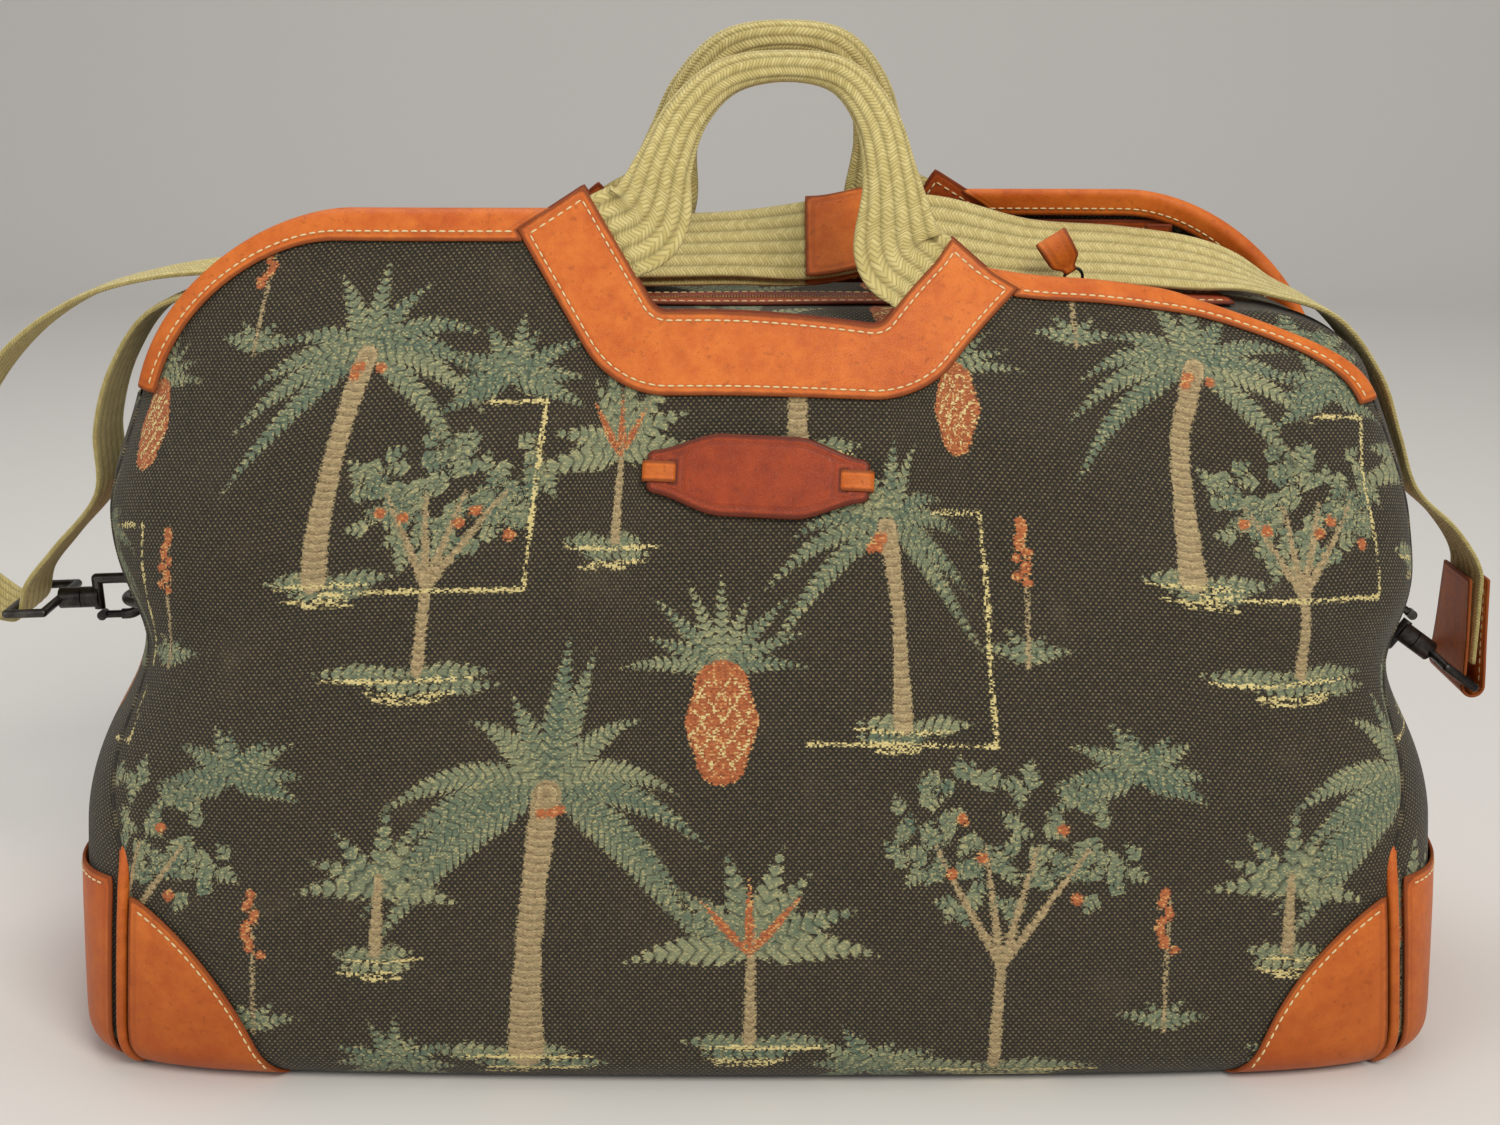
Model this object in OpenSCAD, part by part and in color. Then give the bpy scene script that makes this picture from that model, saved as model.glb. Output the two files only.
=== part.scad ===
// Carpet bag: a soft travel bag of tapestry cloth with leather trim, two webbing handles,
// a zipped top let down between the panels and a webbing shoulder strap on two snap hooks.
// Millimetres, +Z up, -Y is the front. It stands on its base panel at z = 0.

/* [Body] */
// widest part of the bag, end to end
body_w = 512; // [470:1:560]
// depth over the base, front to back
base_d = 244; // [210:1:280]
// depth over the two top edges
top_d = 88; // [84:1:110]
// height of the panels' top edge
top_z = 320; // [312:1:332]
// height at which the walls start to lean in
lean_start = 60; // [30:1:90]
// how late the lean comes
lean_curve = 1.6; // [1.3:0.05:2]
// radius of the panels' top corners
corner_r = 70; // [60:1:80]
// how far the ends draw in at the rings
waist = 13; // [0:1:18]
// rounding at the foot of the walls
foot_r = 16; // [8:1:24]
// sag of the front panel's right-hand top
slump_d = 26; // [0:1:30]
// thickness of the tapestry with its lining
cloth_t = 2.4; // [1.6:0.1:3]
// thickness of the board in the base
board_t = 3; // [2:0.5:4]

/* [Leather] */
// thickness of the leather trim
leather_t = 1.4; // [1:0.1:1.8]
// width of the edge binding
bind_w = 9; // [7:0.5:11]
// radius of the seam piping
pipe_r = 2.2; // [1.5:0.1:2.6]
// corner patch, along the base
patch_w = 58; // [40:1:75]
// corner patch, up the seam
patch_h = 73; // [50:1:90]
// end patch height
end_patch_h = 78; // [50:1:95]

/* [Handles] */
// middle of both handles, from the middle of the bag
handle_x = 4; // [-8:1:10]
// height of the notch floor under the handles
notch_z = 285; // [283:1:290]
// half width of the notch floor
notch_half = 42; // [34:1:48]
// width of the U-shaped handle patch
band_w = 28; // [24:1:30]
// length of the straight arms of the patch
arm_len = 60; // [56:1:66]
// slope of the arms of the patch, degrees
arm_deg = 58; // [54:1:62]
// webbing width, handles and strap
web_w = 38; // [34:1:38]
// webbing thickness
web_t = 2.6; // [2:0.1:3]
// height of the front handle's arch
front_arch_z = 373; // [366:1:382]
// height of the back handle's arch
back_arch_z = 384; // [376:1:394]

/* [Zip] */
// height of the zipped top
trough_z = 281; // [278:1:283]
// half length of the zip
zip_half_l = 142; // [120:1:150]
// half width of the zip with both tapes
zip_half_w = 15; // [12:1:16]
// rest place of the slider from the middle
slider_x = 128; // [60:1:130]
// length of the pull tab
pull_len = 26; // [18:1:30]

/* [Rings and hooks] */
// height of the ring's pin
ring_z = 158; // [152:1:166]
// ring radius to the middle of its wire
ring_r = 14; // [13:0.5:15]
// ring wire radius
wire_r = 1.9; // [1.5:0.1:2]
// dip of the left hook below level, degrees
left_dip = 2; // [0:1:8]
// dip of the right hook below level, degrees
right_dip = 36; // [30:1:40]

/* [Name tag] */
// tag length
tag_w = 80; // [60:1:92]
// tag height in the middle
tag_h = 27; // [20:1:32]
// tag height at its ends
tag_end_h = 14; // [10:1:16]
// height of the tag's middle
tag_z = 228; // [218:1:232]

/* [Hidden] */
// gap between sewn pieces
gap = 0.3;
// gap under leather laid on the cloth
skin_gap = 0.6;
// gap around pins
pin_gap = 0.3;
// height at which the end seams stop
seam_top = top_z - corner_r;
// nominal half width of a panel
panel_half = body_w / 2 - 16;
// height at which the panels start to narrow
shoulder_z = 200;
shoulder_in = 24;
// height above which the front right-hand side sags
slump_z = 240;
flat_x = panel_half - 50;
foot_gap = 0.6;
web_gap = 1;
leather = [0.74, 0.41, 0.17];
cloth = [0.24, 0.22, 0.19];
webbing = [0.74, 0.68, 0.45];
metal = [0.17, 0.16, 0.16];
brass = [0.66, 0.52, 0.25];

function clamp01(t) = min(1, max(0, t));
function smooth01(t) = let (c = clamp01(t)) c * c * (3 - 2 * c);
function mix(a, b, t) = a + (b - a) * t;
function unit(v) = v / norm(v);

// shape of the stuffed body: half depth, half width and how square the plan is at each height
function foot_in(z) = z < foot_r ? foot_r - sqrt(foot_r * foot_r - pow(foot_r - z, 2)) : 0;
function lean(z) = pow(max(0, z - lean_start) / (top_z - lean_start), lean_curve);
function half_depth(z) = mix(base_d, top_d, lean(z)) / 2 - foot_in(z);
function half_width(z) = body_w / 2 - waist * exp(-pow((z - ring_z) / 38, 2))
    - shoulder_in * pow(max(0, z - shoulder_z) / (top_z - shoulder_z), 2) - 0.6 * foot_in(z);
function plan_n(z) = mix(8, 4.5, clamp01((z - 20) / 140));
function wrap_s(z) = mix(1, 1.6, smooth01((z - 70) / 130));
function seam_k(z) = pow(1 + pow(wrap_s(z), plan_n(z)), -1 / plan_n(z));
function seam_x(z, out) = (half_width(z) + out) * wrap_s(z) * seam_k(z);
function seam_y(z, out) = (half_depth(z) + out) * seam_k(z);
function wall_y(x, z, out) = (half_depth(z) + out)
    * pow(max(0.0001, 1 - pow(min(1, abs(x) / (half_width(z) + out)), plan_n(z))), 1 / plan_n(z));
function end_x(y, z, out) = (half_width(z) + out)
    * pow(max(0.0001, 1 - pow(min(1, abs(y) / (half_depth(z) + out)), plan_n(z))), 1 / plan_n(z));

// the front right-hand side has sagged
function settle(p) = [p[0], p[1], p[2] - slump_d * smooth01((p[0] + 20) / 140)
    * (1 + 0.5 * smooth01((p[0] - 110) / 110)) * pow(clamp01((p[2] - slump_z) / (top_z - slump_z)), 1.3)
    * smooth01((-p[1] - 18) / max(1, 0.6 * half_depth(p[2]) - 18))];
function panel_pt(side, u, z, out) = let (x = u * seam_x(z, out)) settle([x, side * wall_y(x, z, out), z]);
function face_pt(side, x, z, out) = settle([x, side * wall_y(x, z, out), z]);
function end_pt(side, w, z, out) = let (y = w * seam_y(z, out)) settle([side * end_x(y, z, out), y, z]);

// top edge of a panel: rounded corners and the notch for the hand
function edge_z(x) = let (d = max(0, abs(x) - (panel_half - corner_r)))
    top_z - corner_r + sqrt(max(0, corner_r * corner_r - d * d));
hem = 4;
function panel_top(x) = min(edge_z(x), notch_z - hem + max(0, abs(x - handle_x) - notch_half) * tan(arm_deg));

// closed solid between an outer and an inner grid of points
module slab(o, i) {
    nr = len(o);
    nc = len(o[0]);
    function a(r, c) = r * nc + c;
    function b(r, c) = nr * nc + r * nc + c;
    quads = concat(
        [for (r = [0 : nr - 2]) for (c = [0 : nc - 2]) [a(r, c), a(r + 1, c), a(r + 1, c + 1), a(r, c + 1)]],
        [for (r = [0 : nr - 2]) for (c = [0 : nc - 2]) [b(r, c), b(r, c + 1), b(r + 1, c + 1), b(r + 1, c)]],
        [for (c = [0 : nc - 2]) [a(0, c), a(0, c + 1), b(0, c + 1), b(0, c)]],
        [for (c = [0 : nc - 2]) [a(nr - 1, c + 1), a(nr - 1, c), b(nr - 1, c), b(nr - 1, c + 1)]],
        [for (r = [0 : nr - 2]) [a(r + 1, 0), a(r, 0), b(r, 0), b(r + 1, 0)]],
        [for (r = [0 : nr - 2]) [a(r, nc - 1), a(r + 1, nc - 1), b(r + 1, nc - 1), b(r, nc - 1)]]);
    polyhedron([for (g = [o, i]) for (row = g) for (p = row) p],
        [for (q = quads) for (t = [[q[0], q[1], q[2]], [q[0], q[2], q[3]]]) t]);
}

// closed solid along a row of rings, each ring turning left about the way forward
module sweep(rings) {
    m = len(rings[0]);
    n = len(rings);
    sides = [for (k = [0 : n - 2]) for (j = [0 : m - 1]) let (h = (j + 1) % m)
        for (t = [[k * m + j, (k + 1) * m + j, (k + 1) * m + h], [k * m + j, (k + 1) * m + h, k * m + h]]) t];
    polyhedron([for (r = rings) for (p = r) p],
        concat(sides, [[for (j = [0 : m - 1]) j]], [[for (j = [m - 1 : -1 : 0]) (n - 1) * m + j]]));
}

// smooth line through a list of points, a few steps between each two
function curve(p, steps) = concat([for (i = [0 : len(p) - 2]) for (k = [0 : steps - 1]) let (t = k / steps,
    a = p[max(0, i - 1)], b = p[i], c = p[i + 1], d = p[min(len(p) - 1, i + 2)])
    0.5 * (2 * b + (c - a) * t + (2 * a - 5 * b + 4 * c - d) * t * t + (3 * b - a - 3 * c + d) * t * t * t)],
    [p[len(p) - 1]]);

// columns of a panel from one seam to the other: over the notch, along the edge, round the corners
notch_top = notch_half + (top_z - notch_z + hem) / tan(arm_deg);
arc_cols = [for (a = [0 : 15 : 90]) panel_half - corner_r + corner_r * sin(a)];
side_cols = [for (t = [0.1, 0.4, 0.7]) mix(notch_top + abs(handle_x), panel_half - corner_r, t)];
panel_cols = concat([for (i = [len(arc_cols) - 1 : -1 : 0]) -arc_cols[i]], [for (i = [2 : -1 : 0]) -side_cols[i]],
    [for (x = [-notch_top, -(notch_half + notch_top) / 2, -notch_half, -notch_half / 2, 0, notch_half / 2, notch_half,
        (notch_half + notch_top) / 2, notch_top]) handle_x + x], side_cols, arc_cols);
panel_rows = [0, 0.008, 0.02, 0.035, 0.055, 0.09, 0.14, 0.19, 0.24, 0.29, 0.34, 0.39, 0.44, 0.49, 0.54, 0.59,
    0.64, 0.7, 0.77, 0.84, 0.9, 0.95, 1];
module panel(side) {
    cols = [for (i = [0 : len(panel_cols) - 1]) panel_cols[side < 0 ? i : len(panel_cols) - 1 - i] / panel_half * 0.9985];
    function grid(out) = [for (v = panel_rows) [for (u = cols)
        panel_pt(side, u, mix(foot_gap, panel_top(u * panel_half), v), out)]];
    color(cloth) slab(grid(0), grid(-cloth_t));
}
module front_panel() { panel(-1); }
module back_panel() { panel(1); }

end_cols = [-1, -0.94, -0.87, -0.78, -0.65, -0.4, 0, 0.4, 0.65, 0.78, 0.87, 0.94, 1];
module end_panel(side) {
    function grid(out) = [for (v = panel_rows) [for (w = end_cols)
        end_pt(side, side * w * 0.997, mix(foot_gap, seam_top, v), out)]];
    color(cloth) slab(grid(0), grid(-cloth_t));
}
module left_end_panel() { end_panel(-1); }
module right_end_panel() { end_panel(1); }

// plan outline at a height, drawn in from the wall
function outline(z, in) = concat(
    [for (w = [-0.95 : 0.19 : 0.95]) let (p = end_pt(1, w, z, -in)) [p[0], p[1]]],
    [for (u = [0.98 : -0.14 : -0.981]) let (p = panel_pt(1, u, z, -in)) [p[0], p[1]]],
    [for (w = [0.95 : -0.19 : -0.951]) let (p = end_pt(-1, w, z, -in)) [p[0], p[1]]],
    [for (u = [-0.98 : 0.14 : 0.981]) let (p = panel_pt(-1, u, z, -in)) [p[0], p[1]]]);
module base_panel() { color(cloth) linear_extrude(cloth_t) polygon(outline(foot_gap, cloth_t + 1.1)); }
module base_board() {
    color([0.5, 0.42, 0.3]) translate([0, 0, cloth_t + gap]) linear_extrude(board_t)
        polygon(outline(foot_gap, cloth_t + 5));
}

// half of the zipped top: flat along the zip, turned down over the ends to the end panels
module top_gusset(side) {
    bottom = seam_top + gap;
    qs = concat([for (a = [90 : -15 : 15]) [-1, a]], [for (t = [-1 : 0.25 : 1]) [t, 0]], [for (a = [15 : 15 : 90]) [1, a]]);
    function y_in(x) = mix(zip_half_w - 1, gap / 2, clamp01((abs(x) - zip_half_l) / 14));
    function pt(q, c, deep) = let (
        ye = mix(gap / 2, seam_y(bottom, -cloth_t) - gap, c), xe = end_x(ye, bottom, 0),
        x = q[1] == 0 ? q[0] * flat_x : sign(q[0]) * mix(flat_x, xe, sin(q[1])),
        z = mix(bottom, trough_z, cos(q[1])),
        y = mix(y_in(x), wall_y(x, z, -cloth_t) - leather_t - 3 * skin_gap - gap, c))
        settle([x - sign(q[0]) * deep * sin(q[1]), side * y, z - deep * cos(q[1])]);
    function grid(deep) = [for (c = side < 0 ? [1, 0.66, 0.33, 0] : [0, 0.33, 0.66, 1]) [for (q = qs) pt(q, c, deep)]];
    color(cloth) slab(grid(0), grid(cloth_t));
}
module front_top_gusset() { top_gusset(-1); }
module back_top_gusset() { top_gusset(1); }

// U-shaped band round the notch, from one arm tip to the other: [middle of the band, way across it]
band_fillet = band_w / 2 + 8;
band_mid_z = notch_z - band_w / 2;
// where the middle lines of bar and arm cross
band_knee = notch_half + (band_w / 2) / tan((180 - arm_deg) / 2);
function band_half() = let (
    cut = band_fillet * tan(arm_deg / 2), c = [band_knee - cut, band_mid_z + band_fillet],
    start = [band_knee, band_mid_z] + cut * [cos(arm_deg), sin(arm_deg)])
    concat([for (t = [0, 0.5, 0.97]) [[(band_knee - cut) * t, band_mid_z], [0, 1]]],
        [for (a = [0 : arm_deg / 5 : arm_deg]) [c + band_fillet * [sin(a), -cos(a)], [-sin(a), cos(a)]]],
        [for (t = [0.25 : 0.25 : 1]) [start + t * (arm_len - cut) * [cos(arm_deg), sin(arm_deg)],
            [-sin(arm_deg), cos(arm_deg)]]]);
band_line = let (h = band_half()) concat(
    [for (i = [len(h) - 1 : -1 : 1]) [[-h[i][0][0], h[i][0][1]], [-h[i][1][0], h[i][1][1]]]], h);
module band(side, out0, out1) {
    line = side < 0 ? band_line : [for (i = [len(band_line) - 1 : -1 : 0]) band_line[i]];
    function grid(out) = [for (c = [-0.5, -0.2, 0.2, 0.5]) [for (s = line)
        let (p = s[0] + c * band_w * s[1]) face_pt(side, handle_x + p[0], p[1], out)]];
    color(leather) slab(grid(out1), grid(out0));
}
module front_handle_patch() { band(-1, skin_gap, skin_gap + leather_t); }
module back_handle_patch() { band(1, skin_gap, skin_gap + leather_t); }
module front_inner_patch() { band(-1, -cloth_t - skin_gap - leather_t, -cloth_t - skin_gap); }
module back_inner_patch() { band(1, -cloth_t - skin_gap - leather_t, -cloth_t - skin_gap); }

// outer side of the band at a height
function band_out_x(z) = band_knee + (z - band_mid_z) / tan(arm_deg) + band_w / 2 / sin(arm_deg);

// leather folded over the top edge, from the handle patch round the corner to the end seam
module binding(side, end) {
    x0 = band_out_x(top_z) + 3 + end * handle_x;
    xs = concat([for (t = [0 : 0.2 : 1]) mix(x0, panel_half - corner_r, t)], [for (i = [1 : 5]) arc_cols[i]]);
    function way(x) = let (d = clamp01((x - (panel_half - corner_r)) / corner_r)) [-d, -sqrt(1 - d * d)];
    function at(x, down, out) = let (e = [x, edge_z(x)] + down * way(x))
        panel_pt(side, end * e[0] / panel_half, e[1], out);
    lay = skin_gap + 0.2;
    ins = -cloth_t - lay;
    function ring(x) = [at(x, bind_w, lay + leather_t), at(x, -lay - leather_t, lay + leather_t),
        at(x, -lay - leather_t, ins - leather_t), at(x, bind_w, ins - leather_t), at(x, bind_w, ins),
        at(x, -lay, ins), at(x, -lay, lay), at(x, bind_w, lay)];
    rings = [for (x = xs) ring(x)];
    color(leather) sweep(side * end < 0 ? rings : [for (i = [len(rings) - 1 : -1 : 0]) rings[i]]);
}
module front_left_binding() { binding(-1, -1); }
module front_right_binding() { binding(-1, 1); }
module back_left_binding() { binding(1, -1); }
module back_right_binding() { binding(1, 1); }

// leather inside the top edge, between the handle patch and the corner
module facing(side, end) {
    cs = side * end < 0 ? [0 : 0.2 : 1] : [1 : -0.2 : 0];
    function grid(out) = [for (v = [0 : 0.25 : 1]) [for (c = cs) let (
        x_in = mix(band_out_x(trough_z - 5), band_out_x(top_z - bind_w - 2), v) + 3 + end * handle_x,
        x = mix(x_in, panel_half - corner_r + 4, c))
        face_pt(side, end * x, mix(trough_z - 5, edge_z(x) - bind_w - 3, v), out)]];
    ins = -cloth_t - skin_gap;
    color(leather) slab(grid(ins), grid(ins - leather_t));
}
module front_left_facing() { facing(-1, -1); }
module front_right_facing() { facing(-1, 1); }
module back_left_facing() { facing(1, -1); }
module back_right_facing() { facing(1, 1); }

// thin leather cord sewn into each upright seam
module piping(side, end) {
    zs = [for (v = [for (i = [1 : len(panel_rows) - 2]) panel_rows[i]]) mix(foot_gap, seam_top, v)];
    mids = [for (z = zs) panel_pt(side, end, z, pipe_r + skin_gap)];
    rings = [for (k = [0 : len(zs) - 1]) let (
        t = unit(mids[min(len(zs) - 1, k + 1)] - mids[max(0, k - 1)]), a = unit(cross([0, 1, 0], t)), b = cross(t, a))
        [for (j = [0 : 7]) mids[k] + pipe_r * (cos(j * 45) * a + sin(j * 45) * b)]];
    color(leather) sweep(rings);
}
module front_left_piping() { piping(-1, -1); }
module front_right_piping() { piping(-1, 1); }
module back_left_piping() { piping(1, -1); }
module back_right_piping() { piping(1, 1); }

// rounded leather patch over each bottom corner of a panel
module corner(side, end) {
    first = 2 * pipe_r + 1;
    ds = [for (t = [0, 0.15, 0.3, 0.45, 0.6, 0.75, 0.88, 0.97]) mix(first, patch_w, t)];
    cols = side * end > 0 ? ds : [for (i = [len(ds) - 1 : -1 : 0]) ds[i]];
    function top(d) = foot_gap + patch_h * pow(max(0, 1 - pow(d / patch_w, 1.45)), 1 / 1.45);
    function grid(out) = [for (v = [0, 0.06, 0.13, 0.2, 0.4, 0.6, 0.8, 1]) [for (d = cols) let (z = mix(foot_gap, top(d), v))
        panel_pt(side, end * (1 - d / seam_x(z, 0)), z, out)]];
    color(leather) slab(grid(skin_gap + gap + leather_t), grid(skin_gap + gap));
}
module front_left_corner() { corner(-1, -1); }
module front_right_corner() { corner(-1, 1); }
module back_left_corner() { corner(1, -1); }
module back_right_corner() { corner(1, 1); }

// leather across the bottom of each end
module end_patch(side) {
    function grid(out) = [for (v = [0, 0.03, 0.08, 0.14, 0.22, 0.4, 0.7, 1]) [for (w = end_cols) let (
        z = mix(foot_gap, end_patch_h, v), lim = 1 - (2 * pipe_r + 1) / seam_y(z, 0))
        end_pt(side, side * w * lim, z, out)]];
    color(leather) slab(grid(skin_gap + leather_t), grid(skin_gap));
}
module left_end_patch() { end_patch(-1); }
module right_end_patch() { end_patch(1); }

// webbing handle: flat where it leaves the arms, folded together over the arch
module handle(side, arch_z) {
    tip = [band_knee, band_mid_z] + arm_len * [cos(arm_deg), sin(arm_deg)];
    root = tip + (band_w / 2 + web_gap) * [-sin(arm_deg), cos(arm_deg)]
        - (web_w / 2 + 2) * [cos(arm_deg), sin(arm_deg)];
    y0 = wall_y(root[0], root[1], -cloth_t / 2);
    rise = arch_z - root[1];
    half = [[root[0], y0, root[1], web_w / 2, web_t / 2],
        [root[0] - 12 * sin(arm_deg), y0 - 3, root[1] + 12 * cos(arm_deg), web_w / 2 - 1, web_t / 2 + 0.5],
        [root[0] - 15, y0 - 10, root[1] + 0.42 * rise, 11, 5], [root[0] - 22, y0 - 19, root[1] + 0.72 * rise, 8.5, 6.5],
        [root[0] - 36, y0 - 27, root[1] + 0.94 * rise, 7, 8], [0, y0 - 31, arch_z, 6, 8.5]];
    pts = concat([for (i = [0 : 4]) half[i]], [for (i = [5 : -1 : 0]) [-half[i][0], half[i][1], half[i][2], half[i][3], half[i][4]]]);
    line = curve(pts, 4);
    mids = [for (p = line) let (q = [handle_x + p[0], side * p[1], p[2]]) settle([q[0], min(q[1], 60), q[2]])];
    n = len(line);
    rings = [for (k = [0 : n - 1]) let (t = unit(mids[min(n - 1, k + 1)] - mids[max(0, k - 1)]),
        a = unit(cross([0, 1, 0], t)), b = cross(t, a))
        [for (j = [0 : 11]) let (c = cos(j * 30), s = sin(j * 30)) mids[k]
            + line[k][3] * sign(c) * pow(abs(c), 0.7) * a + line[k][4] * sign(s) * pow(abs(s), 0.7) * b]];
    color(webbing) sweep(rings);
}
module front_handle() { handle(-1, front_arch_z); }
module back_handle() { handle(1, back_arch_z); }

// zip: leather-edged tape on each side, teeth between
tape_z = trough_z + gap;
teeth_half = 2.4;
module zip_tape(side) {
    color(leather) translate([-zip_half_l, side < 0 ? -zip_half_w : teeth_half + 0.2, tape_z])
        cube([2 * zip_half_l, zip_half_w - teeth_half - 0.2, leather_t]);
}
module front_zip_tape() { zip_tape(-1); }
module back_zip_tape() { zip_tape(1); }
module zip_teeth() {
    pitch = 6;
    n = floor(2 * zip_half_l / pitch);
    x0 = -n * pitch / 2;
    color(brass) translate([0, 0, tape_z]) linear_extrude(leather_t + 0.6) polygon(concat(
        [for (i = [0 : n - 1]) for (p = [[0.2, -teeth_half], [0.6, -teeth_half], [0.6, -1.2], [1, -1.2]])
            [x0 + (i + p[0]) * pitch, p[1]]],
        [for (i = [n - 1 : -1 : 0]) for (p = [[1, 1.2], [0.6, 1.2], [0.6, teeth_half], [0.2, teeth_half]])
            [x0 + (i + p[0]) * pitch, p[1]]]));
}
module zip_end(side) {
    len = flat_x - zip_half_l - 3;
    color(leather) translate([side > 0 ? zip_half_l + 1 : -zip_half_l - 1 - len, -zip_half_w, tape_z])
        cube([len, 2 * zip_half_w, leather_t]);
}
module left_zip_end() { zip_end(-1); }
module right_zip_end() { zip_end(1); }

// slider: a plate over the teeth with a bridge that carries the pull
slide_z = tape_z + leather_t + 0.6 + gap;
bridge_r = 0.9;
bridge_z = slide_z + 2.2 + 2.6;
module zip_slider() {
    color(metal) translate([slider_x, 0, 0]) {
        translate([-7, -4.5, slide_z]) cube([14, 9, 2.2]);
        for (y = [-3.9, 3.9]) translate([0, y, slide_z + 2]) translate([-1.6, -0.6, 0])
            cube([3.2, 1.2, bridge_z + 1.2 - slide_z - 2]);
        translate([0, -3.9, bridge_z]) rotate([-90, 0, 0]) cylinder(r = bridge_r, h = 7.8, $fn = 24);
    }
}
// pull: a leather tab hung on the bridge, standing up and leaning to the left
pull_w = 6;
module zip_puller() {
    color(leather) translate([slider_x, 0, bridge_z]) rotate([0, -32, 0]) difference() {
        union() {
            translate([0, -pull_w / 2, 0]) rotate([-90, 0, 0])
                cylinder(r = bridge_r + pin_gap + 1, h = pull_w, $fn = 32);
            translate([-1.3, -pull_w / 2, bridge_r + pin_gap + 0.4]) cube([2.6, pull_w, pull_len]);
        }
        translate([0, -pull_w, 0]) rotate([-90, 0, 0])
            cylinder(r = bridge_r + pin_gap, h = 2 * pull_w, $fn = 32);
    }
}

// ring pins stand a little off the ends
pin_x = half_width(ring_z) + 2 * skin_gap + leather_t + wire_r + pin_gap + leather_t;
tab_half = ring_r - wire_r - 1;
tab_r = wire_r + pin_gap + leather_t;
// leather tab sewn to the end, folded round the ring's pin
module ring_tab(side) {
    zs = [for (t = [0 : 0.2 : 1]) mix(ring_z - 2, ring_z + 46, t)];
    wall = [for (z = zs) [half_width(z) + skin_gap, z]];
    face = [for (i = [len(zs) - 1 : -1 : 2]) [half_width(zs[i]) + skin_gap + 2 * leather_t, zs[i]]];
    fold = [for (a = [30 : -15 : -90]) [pin_x, ring_z] + tab_r * [cos(a), sin(a)]];
    color(leather) scale([side, 1, 1]) translate([0, tab_half, 0]) rotate([90, 0, 0]) linear_extrude(2 * tab_half)
        difference() {
            polygon(concat(wall, face, fold));
            translate([pin_x, ring_z]) circle(wire_r + pin_gap, $fn = 40);
        }
}
module left_ring_tab() { ring_tab(-1); }
module right_ring_tab() { ring_tab(1); }

// everything on a ring is drawn with the pin at the origin and the hook's line along +X
module on_left() { translate([-pin_x, 0, ring_z]) rotate([0, 180 - left_dip, 0]) children(); }
module on_right() { translate([pin_x, 0, ring_z]) rotate([0, right_dip, 0]) children(); }

module d_ring() {
    color(metal) {
        rotate([0, 0, -90]) rotate_extrude(angle = 180, $fn = 64) translate([ring_r, 0]) circle(wire_r, $fn = 24);
        translate([0, -ring_r, 0]) rotate([-90, 0, 0]) cylinder(r = wire_r, h = 2 * ring_r, $fn = 24);
        for (y = [-ring_r, ring_r]) translate([0, y, 0]) sphere(wire_r, $fn = 24);
    }
}
module left_ring() { on_left() d_ring(); }
module right_ring() { on_right() d_ring(); }

// snap hook: a bow round the ring, a gate across its mouth, a stud that turns in the loop's boss
hook_r = 2.2;
bow_r = 7.8;
// the ring lies near the middle of the bow, so that both can swing
bow_x = ring_r + 1.2;
spine_x = bow_x + 11;
stud_x = spine_x + 12;
loop_x = stud_x + 4;
bar_x = loop_x + 15;
loop_half = web_w / 2 + 3;
loop_r = 1.8;
boss_r = 4.4;
module snap_hook() {
    color(metal) {
        translate([bow_x, 0, 0]) rotate([90, 0, 0]) rotate([0, 0, 90])
            rotate_extrude(angle = 180, $fn = 48) translate([bow_r, 0]) circle(hook_r, $fn = 24);
        translate([bow_x, 0, -bow_r]) rotate([0, 90, 0]) cylinder(r = hook_r, h = spine_x - bow_x, $fn = 24);
        translate([bow_x, 0, bow_r]) rotate([0, 90, 0]) cylinder(r = hook_r, h = 2, $fn = 24);
        translate([spine_x, 0, -bow_r]) sphere(hook_r, $fn = 24);
        translate([spine_x, 0, -bow_r]) cylinder(r = hook_r, h = 2 * bow_r - 2.8, $fn = 24);
        translate([spine_x - 0.5, 0, 0]) rotate([0, 90, 0]) cylinder(r = boss_r, h = stud_x - spine_x - 5, $fn = 32);
        translate([spine_x, 0, 0]) rotate([0, 90, 0]) cylinder(r = hook_r, h = stud_x - spine_x - 0.5, $fn = 32);
    }
}
gate_x = spine_x - 1;
module hook_gate() {
    color(metal) {
        translate([gate_x, -2.5, bow_r]) rotate([-90, 0, 0]) cylinder(r = 2, h = 5, $fn = 32);
        translate([bow_x + 2.4, 0, bow_r]) rotate([0, 90, 0]) cylinder(r = 1.6, h = gate_x - bow_x - 2.4, $fn = 24);
    }
}
module hook_loop() {
    color(metal) difference() {
        union() {
            for (x = [loop_x, bar_x]) translate([x, -loop_half, 0]) rotate([-90, 0, 0])
                cylinder(r = loop_r, h = 2 * loop_half, $fn = 24);
            for (y = [-loop_half, loop_half]) translate([loop_x, y, 0]) rotate([0, 90, 0])
                cylinder(r = loop_r, h = bar_x - loop_x, $fn = 24);
            for (x = [loop_x, bar_x]) for (y = [-loop_half, loop_half]) translate([x, y, 0]) sphere(loop_r, $fn = 24);
            translate([stud_x - 5, 0, 0]) rotate([0, 90, 0]) cylinder(r = boss_r, h = 9, $fn = 32);
        }
        translate([stud_x - 6, 0, 0]) rotate([0, 90, 0]) cylinder(r = hook_r + pin_gap, h = 6.5, $fn = 32);
    }
}
module left_hook() { on_left() snap_hook(); }
module right_hook() { on_right() snap_hook(); }
module left_hook_gate() { on_left() hook_gate(); }
module right_hook_gate() { on_right() hook_gate(); }
module left_hook_loop() { on_left() hook_loop(); }
module right_hook_loop() { on_right() hook_loop(); }

// middle of each hook loop's outer bar
left_bar = [-pin_x - bar_x * cos(left_dip), 0, ring_z - bar_x * sin(left_dip)];
right_bar = [pin_x + bar_x * cos(right_dip), 0, ring_z - bar_x * sin(right_dip)];

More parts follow.
